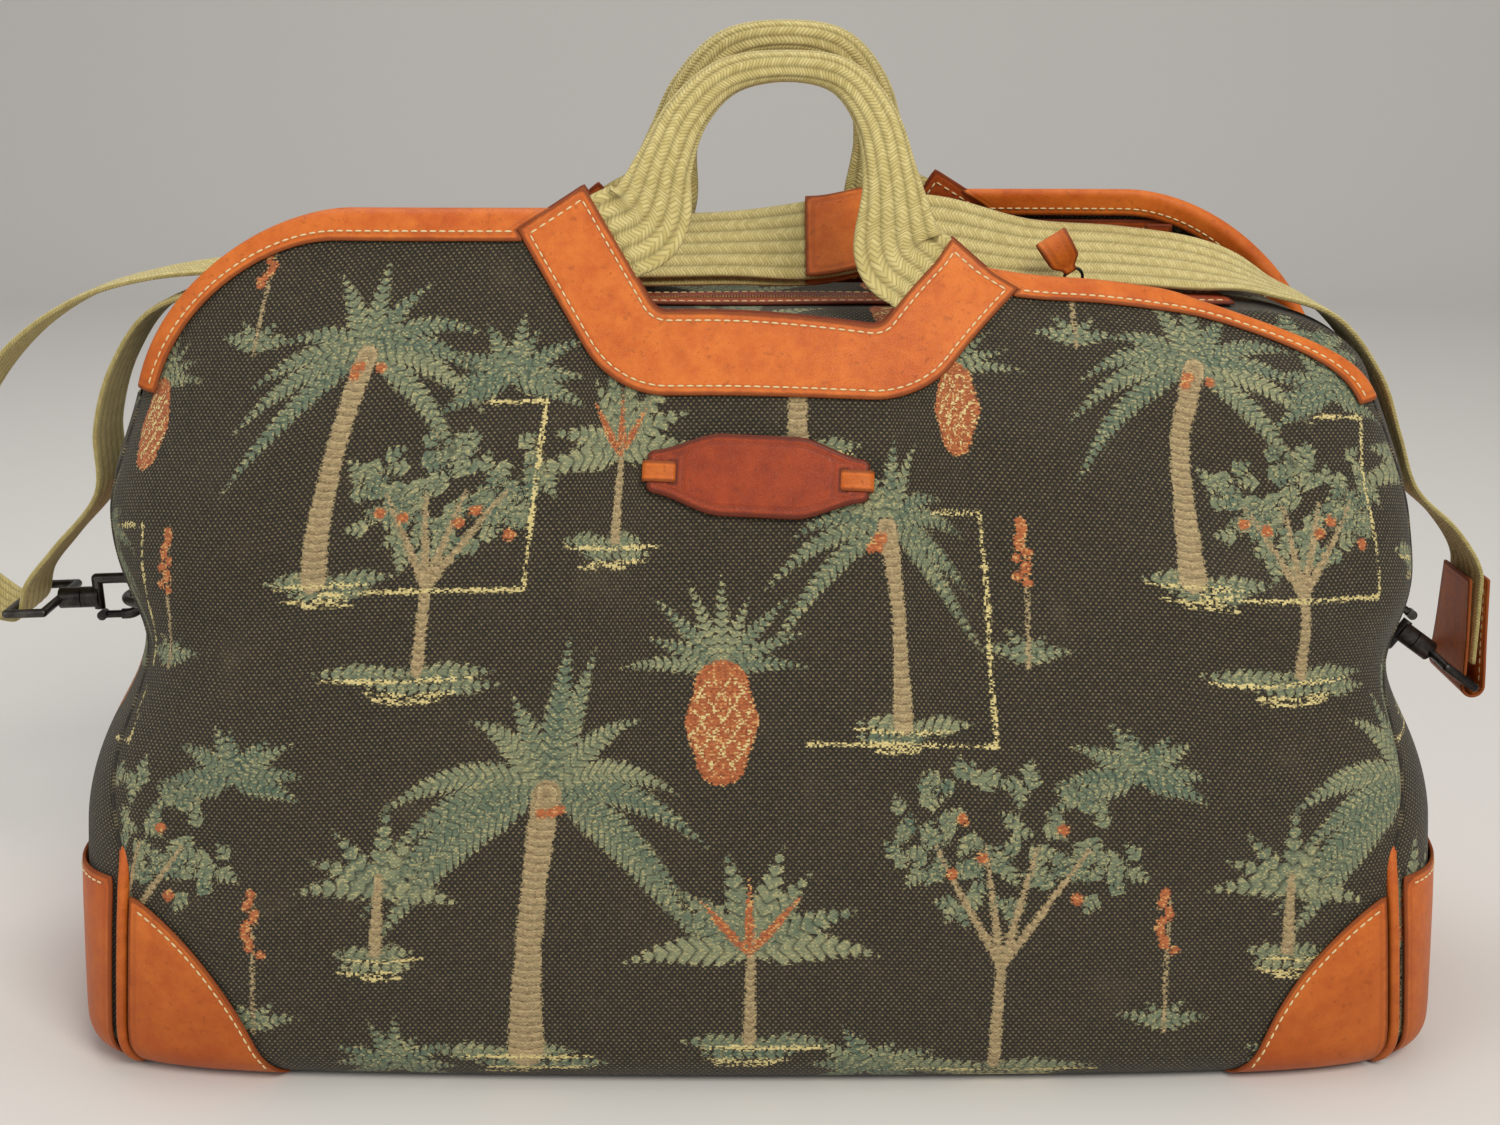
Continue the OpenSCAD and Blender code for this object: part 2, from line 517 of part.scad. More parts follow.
// shoulder strap: from the adjuster out over the left end, round the left hook's bar, back in
// and across to the right hook. Each point carries the way its width lies.
strap_lean = [0, 0.62, 0.785];
run_y = 21.3;
run_z = trough_z + 24;
under = loop_r + web_t / 2 + 0.5;
run_a = [run_y - 3.7, run_z + 2.9];
end_l = -panel_half;
strap_pts = concat(
    [[[46, run_a[0], run_a[1]], strap_lean], [[0, run_a[0], run_a[1]], strap_lean],
     [[-60, run_a[0], run_a[1]], strap_lean], [[-120, run_a[0] + 1, run_a[1]], [0, 0.66, 0.75]],
     [[-152, run_y - 1.2, run_z + 1.6], [0, 0.76, 0.65]], [[flat_x * -0.93, 17, trough_z + 21.5], [0, 0.9, 0.44]], [[end_l + 34, 6, trough_z + 18], [0, 1, 0.08]],
     [[end_l, 0, trough_z + 13], [0, 1, 0]], [[end_l - 30, 0, trough_z + 3], [0, 1, 0]],
     [[end_l - 58, 0, trough_z - 17], [0, 1, 0]], [[end_l - 80, 0, trough_z - 46], [0, 1, 0]],
     [[end_l - 88, 0, trough_z - 80], [0, 1, 0]], [left_bar + [-26, 0, 18], [0, 1, 0]],
     [left_bar + [-11, 0, 1], [0, 1, 0]], [left_bar + [-1, 0, -under], [0, 1, 0]],
     [left_bar + [0.85 * under + 0.6, 0, -1.4], [0, 1, 0]], [left_bar + [7.5, 0, 11], [0, 1, 0]],
     [left_bar + [20, 0, 26], [0, 1, 0]],
     [[end_l - 27, 0, 205], [0, 1, 0]], [[end_l - 25, 0, 232], [0, 1, 0]], [[end_l - 16, 0, 258], [0, 1, 0]],
     [[end_l + 2, 0, trough_z + 1], [0, 1, 0]], [[end_l + 34, 3, trough_z + 10], [0, 1, 0.05]],
     [[flat_x * -0.93, 13, trough_z + 14.5], [0, 0.9, 0.44]], [[-152, run_y + 1.6, run_z - 2.2], [0, 0.76, 0.65]],
     [[-120, run_y + 1, run_z - 1], [0, 0.66, 0.75]],
     [[-60, run_y, run_z], strap_lean], [[40, run_y, run_z], strap_lean], [[110, run_y, run_z], strap_lean],
     [[156, run_y - 1, run_z], strap_lean], [[flat_x, 17, trough_z + 16], [0, 0.84, 0.54]],
     [[panel_half - 24, 8, trough_z + 12], [0, 0.99, 0.14]], [[panel_half - 2, 1, trough_z + 1], [0, 1, 0]],
     [[panel_half + 17, 0, trough_z - 22], [0, 1, 0]], [[panel_half + 28, 0, trough_z - 52], [0, 1, 0]],
     [right_bar + [-6, 0, 68], [0, 1, 0]], [right_bar + [0.3, 0, 46], [0, 1, 0]], [right_bar + [0.3, 0, 9], [0, 1, 0]]]);
strap_mids = curve([for (p = strap_pts) p[0]], 3);
strap_ways = curve([for (p = strap_pts) p[1]], 3);
// the strap turns round the left hook's bar between these two rings
strap_turn = 3 * 14;
function strap_ring(k) = let (n = len(strap_mids), m = strap_mids[k],
    t = unit(strap_mids[min(n - 1, k + 1)] - strap_mids[max(0, k - 1)]),
    w = unit(strap_ways[k] - (strap_ways[k] * t) * t), b = cross(t, w))
    [for (s = [[1, 1], [-1, 1], [-1, -1], [1, -1]]) m + s[0] * web_w / 2 * w + s[1] * web_t / 2 * b];
function turn_ring(f) = let (a = strap_ring(strap_turn), b = strap_ring(strap_turn + 1)) [for (j = [0 : 3]) mix(a[j], b[j], f)];
module shoulder_strap() {
    color(webbing) sweep(concat([for (k = [0 : strap_turn]) strap_ring(k)], [turn_ring(0.45)]));
}
module strap_return() {
    color(webbing) sweep(concat([turn_ring(0.55)], [for (k = [strap_turn + 1 : len(strap_mids) - 1]) strap_ring(k)]));
}

// adjuster: a frame round the running strap, its middle bar behind it
adj_x = 58;
adj_r = 1.5;
adj_back = -web_t / 2 - adj_r - 1.8;
module at_adjuster() {
    translate([adj_x, run_y, run_z]) rotate([atan2(strap_lean[2], strap_lean[1]), 0, 0]) mirror([0, 0, 1])
        children();
}
module strap_adjuster() {
    node_r = adj_r + 0.3;
    lane = web_w / 2 + 0.5 + node_r;
    front = web_t / 2 + adj_r + 0.4;
    color(metal) at_adjuster() {
        for (y = [-lane, lane]) translate([-9, y, 0]) rotate([0, 90, 0]) cylinder(r = adj_r, h = 18, $fn = 24);
        for (x = [-9, 9]) translate([x, -lane, front]) rotate([-90, 0, 0]) cylinder(r = adj_r, h = 2 * lane, $fn = 24);
        for (x = [-9, 9]) for (y = [-lane, lane]) translate([x, y, 0]) {
            sphere(node_r, $fn = 24);
            cylinder(r = node_r, h = front, $fn = 24);
            translate([0, 0, front]) sphere(node_r, $fn = 24);
        }
        translate([0, -lane, adj_back]) rotate([-90, 0, 0]) cylinder(r = adj_r, h = 2 * lane, $fn = 24);
        for (y = [-lane, lane]) translate([0, y, adj_back]) {
            sphere(node_r, $fn = 24);
            cylinder(r = node_r, h = -adj_back, $fn = 24);
            translate([0, 0, -adj_back]) sphere(node_r, $fn = 24);
        }
    }
}
// leather end of the strap, folded round the adjuster's middle bar
module adjuster_tab() {
    z = adj_back;
    color(leather) at_adjuster() translate([0, web_w / 2 - 1, 0]) rotate([90, 0, 0]) linear_extrude(web_w - 2)
        difference() {
            union() {
                translate([0, z]) circle(adj_r + 0.3 + 1, $fn = 32);
                translate([-30, z - 1.3]) square([30, 2.3]);
            }
            translate([0, z]) circle(adj_r + 0.3, $fn = 32);
            translate([-40, z - 10]) square([28.4 - gap, 20]);
        }
}
// stitched leather end at the right hook, both sides of the webbing and round the bar
module right_strap_tab() {
    inner = web_t / 2 + skin_gap;
    outer = inner + leather_t;
    color(leather) translate(right_bar) translate([0, web_w / 2 + 1, 0]) rotate([90, 0, 0]) linear_extrude(web_w + 2)
        difference() {
            union() {
                circle(loop_r + 0.3 + leather_t, $fn = 40);
                translate([-outer, 0]) square([2 * outer + 0.6, 44]);
            }
            circle(loop_r + 0.3, $fn = 40);
            translate([-inner, 8]) square([2 * inner + 0.6, 60]);
        }
}

// name tag: a bare leather lozenge held by two small loops through its slots
tag_lean = atan((half_depth(tag_z - 8) - half_depth(tag_z + 8)) / 16);
module on_front(z) { translate([0, -half_depth(z) - gap - 0.4, z]) rotate([90 - tag_lean, 0, 0]) children(); }
module name_tag() {
    color(leather) on_front(tag_z) rotate([0, 0, -2.6]) linear_extrude(2) difference() {
        polygon([[-tag_w / 2, -tag_end_h / 2], [-tag_w / 4, -tag_h / 2 + 1.4], [0, -tag_h / 2], [tag_w / 4, -tag_h / 2 + 1.4],
            [tag_w / 2, -tag_end_h / 2], [tag_w / 2, tag_end_h / 2], [tag_w / 4, tag_h / 2 - 1.4], [0, tag_h / 2],
            [-tag_w / 4, tag_h / 2 - 1.4], [-tag_w / 2, tag_end_h / 2]]);
        for (x = [-1, 1]) translate([x * (tag_w / 2 - 8) - 1.7, -4]) square([3.4, 8]);
    }
}
module tag_loop(side) {
    color(leather) on_front(tag_z) rotate([0, 0, -2.6]) translate([side * (tag_w / 2 - 8), 0, 0]) scale([side, 1, 1]) {
        translate([-1.3, -3.4, 0]) cube([2.6, 6.8, 3.4]);
        translate([-1.3, -3.4, 2.3]) cube([12.4, 6.8, 1.1]);
        translate([9, -3.4, 0]) cube([2.1, 6.8, 3.4]);
    }
}
module left_tag_loop() { tag_loop(-1); }
module right_tag_loop() { tag_loop(1); }

// small keeper sewn inside the back facing
module inner_keeper() {
    x = panel_half - corner_r - 2;
    z = trough_z + 18;
    deg = atan((half_depth(z - 6) - half_depth(z + 6)) / 12);
    color(leather) translate([x, wall_y(x, z, -cloth_t - 2 * gap - leather_t) - 0.6, z]) rotate([90 + deg, 0, 0])
        translate([-5, -8, 0]) cube([10, 16, 1.6]);
}

front_panel();
back_panel();
left_end_panel();
right_end_panel();
base_panel();
base_board();
front_top_gusset();
back_top_gusset();
front_handle_patch();
back_handle_patch();
front_inner_patch();
back_inner_patch();
front_left_binding();
front_right_binding();
back_left_binding();
back_right_binding();
front_left_facing();
front_right_facing();
back_left_facing();
back_right_facing();
front_left_piping();
front_right_piping();
back_left_piping();
back_right_piping();
front_left_corner();
front_right_corner();
back_left_corner();
back_right_corner();
left_end_patch();
right_end_patch();
front_handle();
back_handle();
front_zip_tape();
back_zip_tape();
zip_teeth();
left_zip_end();
right_zip_end();
zip_slider();
zip_puller();
left_ring_tab();
right_ring_tab();
left_ring();
right_ring();
left_hook_loop();
right_hook_loop();
left_hook();
right_hook();
left_hook_gate();
right_hook_gate();
shoulder_strap();
strap_return();
strap_adjuster();
adjuster_tab();
right_strap_tab();
name_tag();
left_tag_loop();
right_tag_loop();
inner_keeper();
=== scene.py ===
import bpy, math
import numpy as np
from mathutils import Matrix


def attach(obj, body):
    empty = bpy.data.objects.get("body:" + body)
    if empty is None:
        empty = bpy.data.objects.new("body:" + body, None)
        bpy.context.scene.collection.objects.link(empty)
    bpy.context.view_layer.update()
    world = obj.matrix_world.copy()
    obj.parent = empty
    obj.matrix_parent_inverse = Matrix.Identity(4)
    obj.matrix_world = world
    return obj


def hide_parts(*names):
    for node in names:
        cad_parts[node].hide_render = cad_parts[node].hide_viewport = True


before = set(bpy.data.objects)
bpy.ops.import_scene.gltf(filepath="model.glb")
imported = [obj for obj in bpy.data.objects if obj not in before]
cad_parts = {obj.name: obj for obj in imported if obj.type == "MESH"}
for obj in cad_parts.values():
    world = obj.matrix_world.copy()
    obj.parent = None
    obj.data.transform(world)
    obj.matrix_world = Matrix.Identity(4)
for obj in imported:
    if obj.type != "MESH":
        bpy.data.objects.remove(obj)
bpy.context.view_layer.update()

# Tapestry body: two large panels and two end panels of jacquard tapestry, sewn into a soft box that is
# stuffed full. The cloth bellies at the foot, leans in to the top, draws in at the rings and has sunk at
# the front right and the back left. Its pattern of palms and garden plants is woven in, thread by thread.
BODY_W, BASE_D, TOP_D, TOP_Z = 512.0, 244.0, 88.0, 320.0
PANEL_HALF, CORNER_R, SEAM_TOP = 240.0, 70.0, 250.0
FOOT, FOOT_R, LEAN_FROM, RING_Z = 0.6, 16.0, 60.0, 158.0
FOOT_SPREAD, RING_PINCH, SHOULDER_IN, TOP_IN = 8.0, 13.0, 9.0, 24.0
FRONT_SAG, BACK_SAG, SWELL = 26.0, 8.0, 11.0
HANDLE_X, NOTCH_Z, NOTCH_HALF, ARM = 4.0, 285.0, 42.0, math.radians(58)
CLOTH_T = 2.4
FACES = ((-1, "front"), (1, "back"))
ENDS = ((-1, "left"), (1, "right"))
CORNERS = [(side, end, f"{far}_{hand}") for side, far in FACES for end, hand in ENDS]
# each fold runs from x, z to x, z and has a width and a height
FRONT_FOLDS = ((236, 158, 120, 205, 13, 4.2), (240, 138, 150, 128, 12, -4.0), (238, 118, 140, 96, 13, 4.0),
               (228, 196, 110, 262, 16, -3.6), (-238, 168, -150, 196, 12, -3.6),
               (-236, 150, -160, 120, 12, 3.8), (-232, 120, -188, 74, 10, -5.0),
               (-226, 205, -130, 262, 15, 3.0), (60, 262, 150, 214, 16, 2.6), (-60, 258, -140, 206, 16, 2.4))
BACK_FOLDS = ((236, 158, 110, 200, 14, 4.0), (236, 140, 150, 112, 13, -3.6), (-236, 160, -120, 206, 14, -3.8),
              (-236, 140, -140, 104, 13, 4.2))
END_FOLDS = ((-70, 190, 60, 150, 16, 3.5), (-60, 120, 70, 138, 15, -3.0))


def smooth01(t):
    t = np.clip(t, 0.0, 1.0)
    return t * t * (3 - 2 * t)


def mix(a, b, t):
    return a + (b - a) * t


def grid(x, y, z):
    return np.stack(np.broadcast_arrays(x, y, z), -1)


def foot_in(z):
    return FOOT_R - np.sqrt(np.maximum(0, FOOT_R ** 2 - np.maximum(0, FOOT_R - z) ** 2))


def half_depth(z):
    lean = (np.maximum(0, z - LEAN_FROM) / (TOP_Z - LEAN_FROM)) ** 1.6
    return mix(BASE_D, TOP_D, lean) / 2 - foot_in(z)


def half_width(z):
    pinch = RING_PINCH * np.exp(-((z - RING_Z) / 27) ** 2)
    shoulder = SHOULDER_IN * smooth01((z - 205) / 50) + TOP_IN * (np.maximum(0, z - 200) / 120) ** 2
    return BODY_W / 2 + FOOT_SPREAD * (1 - smooth01((z - 92) / 54)) - pinch - shoulder - 0.6 * foot_in(z)


def plan_n(z):
    """How square the bag is in plan: boxy at the foot, rounder above."""
    return mix(8, 4.5, np.clip((z - 20) / 140, 0, 1))


def seam(z, out=0.0):
    """Where the upright seams stand, as x and y."""
    n, s = plan_n(z), mix(1, 1.6, smooth01((z - 70) / 130))
    k = (1 + s ** n) ** (-1 / n)
    return (half_width(z) + out) * s * k, (half_depth(z) + out) * k


def bulge(a, along, n):
    return np.maximum(1e-4, 1 - np.minimum(1, np.abs(a) / along) ** n) ** (1 / n)


def fold(x, z, x0, z0, x1, z1, width, height):
    dx, dz = x1 - x0, z1 - z0
    long = math.hypot(dx, dz)
    t = ((x - x0) * dx + (z - z0) * dz) / long ** 2
    d = ((x - x0) * dz - (z - z0) * dx) / long
    return height * np.exp(-(d / width) ** 2) * smooth01(t / 0.35) * smooth01((1 - t) / 0.35)


def ripple(x, z, seed):
    r = np.random.RandomState(seed)
    total = 0.0
    for _ in range(9):
        k, turn, phase = r.uniform(0.018, 0.06), r.uniform(0, math.pi), r.uniform(0, 6.3)
        total = total + np.sin(k * (x * math.cos(turn) + z * math.sin(turn)) + phase) * (0.02 / k)
    return total / 3


def slack(side, x, z):
    """How far the cloth of a long panel stands off its plain shape, in millimetres."""
    free = smooth01((238 - np.abs(x)) / 60) * smooth01(z / 50) * smooth01((322 - z) / 60)
    low = 6 * np.maximum(0, 1 - (x / 236) ** 2) * np.exp(-z / 90)
    folds, crease, seed = (FRONT_FOLDS, 2.2, 3) if side < 0 else (BACK_FOLDS, 2.4, 8)
    return low + free * (sum(fold(x, z, *f) for f in folds) + crease * ripple(x, z, seed))


def settle(x, y, z):
    """Where a point of the plain shape comes to rest: sunk at the top, swollen beside the right ring."""
    high = np.clip((z - 240) / 80, 0, 1) ** 1.3
    front = smooth01((-y - 18) / np.maximum(1, 0.6 * half_depth(z) - 18))
    sag = FRONT_SAG * smooth01((x + 20) / 140) * (1 + 0.5 * smooth01((x - 110) / 110)) * high * front
    sag = sag + BACK_SAG * smooth01((-x - 30) / 60) * high * smooth01((y - 18) / 14)
    swell = SWELL * smooth01((x - 90) / 130) * np.exp(-((z - 172) / 26) ** 2) * smooth01((-y - 25) / 45)
    return grid(x + swell, y, z - sag)


def face_pt(side, x, z, out=0.0):
    x, z = np.asarray(x, float), np.asarray(z, float)
    depth = (half_depth(z) + out) * bulge(x, half_width(z) + out, plan_n(z))
    return settle(x, side * (depth + slack(side, x, z)), z)


def panel_pt(side, u, z, out=0.0):
    """A point of a long panel; u runs from seam to seam, -1 to 1."""
    return face_pt(side, u * seam(z, out)[0], z, out)


def end_pt(end, w, z, out=0.0):
    """A point of an end panel; w runs from seam to seam, -1 to 1."""
    y = w * seam(z, out)[1]
    wide = (half_width(z) + out) * bulge(y, half_depth(z) + out, plan_n(z))
    free = smooth01((100 - np.abs(y)) / 40) * smooth01(z / 60) * smooth01((250 - z) / 40)
    wide = wide + free * (sum(fold(y, z, *f) for f in END_FOLDS) + 2.0 * ripple(y, z, 5 + end))
    return settle(end * wide, y, z)


def edge_z(x):
    d = np.maximum(0, np.abs(x) - (PANEL_HALF - CORNER_R))
    return TOP_Z - CORNER_R + np.sqrt(np.maximum(0, CORNER_R ** 2 - d * d))


def panel_top(u):
    rise = np.maximum(0, np.abs(u * seam(300.0)[0] - HANDLE_X) - NOTCH_HALF) * math.tan(ARM)
    return np.minimum(edge_z(u * PANEL_HALF), NOTCH_Z - 5 + rise)


def dress(piece, body, nodes=()):
    """Says which body a piece rides on and the nodes that it stands for."""
    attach(piece, body)
    if nodes:
        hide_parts(*nodes)
    return piece


def add_piece(name, points, faces, finish, nodes=(), body="bag", uv=None, values=None):
    """A mesh piece in millimetres, given its finish and tied to its body and the nodes that it stands for."""
    mesh = bpy.data.meshes.new(name)
    faces = [np.asarray(f, np.int32) for f in (faces if isinstance(faces, list) else [faces]) if len(f)]
    corners = np.concatenate([f.ravel() for f in faces])
    counts = np.concatenate([np.full(len(f), f.shape[1], np.int32) for f in faces])
    mesh.vertices.add(len(points))
    mesh.vertices.foreach_set("co", (np.asarray(points, float) * 0.001).astype(np.float32).ravel())
    mesh.loops.add(len(corners))
    mesh.loops.foreach_set("vertex_index", corners)
    mesh.polygons.add(len(counts))
    starts = np.concatenate([[0], np.cumsum(counts)[:-1]]).astype(np.int32)
    mesh.polygons.foreach_set("loop_start", starts)
    mesh.polygons.foreach_set("use_smooth", np.full(len(counts), True))
    mesh.update(calc_edges=True)
    if uv is not None:
        layer = mesh.uv_layers.new(name="lay")
        layer.data.foreach_set("uv", (np.asarray(uv, float)[corners] * 0.001).astype(np.float32).ravel())
    for key, value in (values or {}).items():
        data = mesh.attributes.new(key, "FLOAT", "POINT").data
        data.foreach_set("value", np.asarray(value, np.float32).ravel())
    mesh.materials.append(finish)
    mesh.validate()
    piece = bpy.data.objects.new(name, mesh)
    bpy.context.collection.objects.link(piece)
    return dress(piece, body, nodes)


def grid_faces(rows, cols, start=0):
    i = start + np.arange(rows * cols).reshape(rows, cols)
    return np.stack([i[:-1, :-1], i[:-1, 1:], i[1:, 1:], i[1:, :-1]], -1).reshape(-1, 4)


class Wire:
    """A socket of a material's nodes, so that sums on it are written as sums."""

    def __init__(self, tree, socket=None):
        self.tree, self.socket = tree, socket

    def node(self, kind, settings=None, out=0, **sockets):
        made = self.tree.nodes.new(kind)
        for key, value in (settings or {}).items():
            setattr(made, key, value)
        for key, value in sockets.items():
            target = made.inputs[int(key[1:]) if key[1:].isdigit() else key.replace("_", " ")]
            if isinstance(value, Wire):
                self.tree.links.new(value.socket, target)
            else:
                target.default_value = value
        return Wire(self.tree, made.outputs[out])

    def math(self, operation, a, b=0.0):
        return self.node("ShaderNodeMath", {"operation": operation}, i0=a, i1=b)

    def __add__(self, other):
        return self.math("ADD", self, other)

    def __sub__(self, other):
        return self.math("SUBTRACT", self, other)

    def __rsub__(self, other):
        return self.math("SUBTRACT", other, self)

    def __mul__(self, other):
        return self.math("MULTIPLY", self, other)

    def __truediv__(self, other):
        return self.math("DIVIDE", self, other)

    __radd__, __rmul__ = __add__, __mul__

    def step(self, low, high):
        return self.node("ShaderNodeMapRange", {"interpolation_type": "SMOOTHSTEP"},
                         Value=self, From_Min=low, From_Max=high)

    def blend(self, a, b):
        """Colour a where this value is 0 and colour b where it is 1."""
        return self.node("ShaderNodeMix", {"data_type": "RGBA"}, out=2, i0=self, i6=a, i7=b)

    def attribute(self, name):
        return self.node("ShaderNodeAttribute", {"attribute_name": name}, out=2)

    def lay(self):
        """The piece's own map: millimetres along it and across it."""
        spot = self.node("ShaderNodeUVMap", {"uv_map": "lay"})
        return [self.node("ShaderNodeSeparateXYZ", out=k, Vector=spot) * 1000 for k in (0, 1)]

    def place(self):
        return self.node("ShaderNodeTexCoord", out=3)

    def noise(self, scale, detail, roughness=0.5):
        return self.node("ShaderNodeTexNoise", Vector=self.place(), Scale=scale, Detail=detail,
                         Roughness=roughness)

    def chance(self, x, y):
        """A random value for each cell of a grid."""
        cell = self.node("ShaderNodeCombineXYZ", X=x, Y=y)
        return self.node("ShaderNodeTexWhiteNoise", {"noise_dimensions": "2D"}, Vector=cell)

    def bump(self, strength, distance, height):
        return self.node("ShaderNodeBump", Strength=strength, Distance=distance, Height=height)

    def surface(self, **sockets):
        shader = self.node("ShaderNodeBsdfPrincipled", **sockets)
        end = self.tree.nodes.new("ShaderNodeOutputMaterial")
        self.tree.links.new(shader.socket, end.inputs["Surface"])


def paint(red, green, blue):
    linear = [c / 255 / 12.92 if c < 10.3 else ((c / 255 + 0.055) / 1.055) ** 2.4 for c in (red, green, blue)]
    return (*linear, 1.0)


def new_finish(name):
    finish = bpy.data.materials.new(name)
    finish.use_nodes = True
    finish.node_tree.nodes.clear()
    return finish, Wire(finish.node_tree)


def weave_finish():
    finish, w = new_finish("tapestry weave")
    warp, weft, pick_x, pick_y = 0.85, 0.62, 2.1, 1.25
    across, up = w.lay()
    end, shot = w.math("FLOOR", across / warp), w.math("FLOOR", up / weft)
    thread = w.chance(end, shot)
    row = w.node("ShaderNodeTexWhiteNoise", {"noise_dimensions": "1D"}, W=shot)
    cloudy = w.noise(38.0, 3.0)
    jitter = (thread - 0.5) * 1.3

    def woven(name, soft=0.35, cut=0.0):
        return (w.attribute(name) + jitter - cut).step(-soft, soft)

    # ground: near-black warp with small light picks in brick order
    shift = w.math("MODULO", w.math("FLOOR", up / pick_y), 2.0) * (pick_x / 2)
    dot_x = w.math("ABSOLUTE", w.math("FRACT", (across + shift) / pick_x) - 0.5)
    dot_y = w.math("ABSOLUTE", w.math("FRACT", up / pick_y) - 0.5)
    pick = (1 - dot_x.step(0.12, 0.24)) * (1 - dot_y.step(0.16, 0.36)) * (0.35 + 0.65 * thread)
    ground = (0.55 * thread + 0.45 * cloudy).blend(paint(30, 27, 23), paint(58, 52, 42))
    ground = (pick * 0.85).blend(ground, paint(140, 126, 90))
    # leaves: teal to sage, cut into leaflets along the rib
    split = w.math("FRACT", w.attribute("rib"))
    green = (0.55 * w.attribute("tone") + 0.45 * thread).blend(paint(66, 92, 80), paint(156, 156, 116))
    green = (thread.step(0.78, 0.9) * 0.6).blend(green, paint(192, 180, 126))
    green = (split.step(0.6, 0.98) * 0.7).blend(green, paint(44, 50, 42))
    wood = (0.5 * split + 0.5 * thread).blend(paint(112, 92, 64), paint(210, 186, 138))
    wood = (thread.step(0.7, 0.84) * 0.5).blend(wood, paint(112, 106, 72))
    gold = (thread * 0.8).blend(paint(198, 178, 112), paint(232, 216, 152))
    rust = (0.6 * thread + 0.4 * split).blend(paint(132, 66, 38), paint(206, 122, 70))
    rust = (thread.step(0.82, 0.92) * 0.6).blend(rust, paint(220, 186, 120))
    # figures: laid over the ground in turn, with a dark line between each two rows of weft
    floats = w.math("FRACT", up / (2 * weft)) - 0.5
    gap_line = w.math("ABSOLUTE", floats).step(0.34, 0.5) * 0.42 * (0.4 + 0.6 * row)
    plants = woven("leaf", cut=split.step(0.3, 1.0) * 2.2)
    colour = plants.blend(ground, green)
    for name, ink in (("wood", wood), ("rust", rust), ("gold", gold)):
        mask = woven(name)
        colour = mask.blend(colour, ink)
        plants = w.math("MAXIMUM", plants, mask)
    colour = (plants * gap_line).blend(colour, paint(40, 36, 30))
    colour = (cloudy.step(0.62, 0.8) * 0.12).blend(colour, paint(120, 108, 84))
    height = w.math("SINE", across * (math.pi / warp)) * w.math("SINE", up * (math.pi / weft))
    height = height * 0.5 + pick * 0.9 + plants * (0.5 + 0.5 * thread)
    w.surface(Base_Color=colour, Roughness=0.88 - 0.12 * plants, Normal=w.bump(0.55, 0.00035, height),
              Specular_IOR_Level=0.25, Sheen_Weight=0.12, Sheen_Roughness=0.5)
    return finish


def run_of(line):
    """How far along a line each of its points lies."""
    return np.concatenate([[0], np.cumsum(np.linalg.norm(np.diff(line, axis=0), axis=1))])


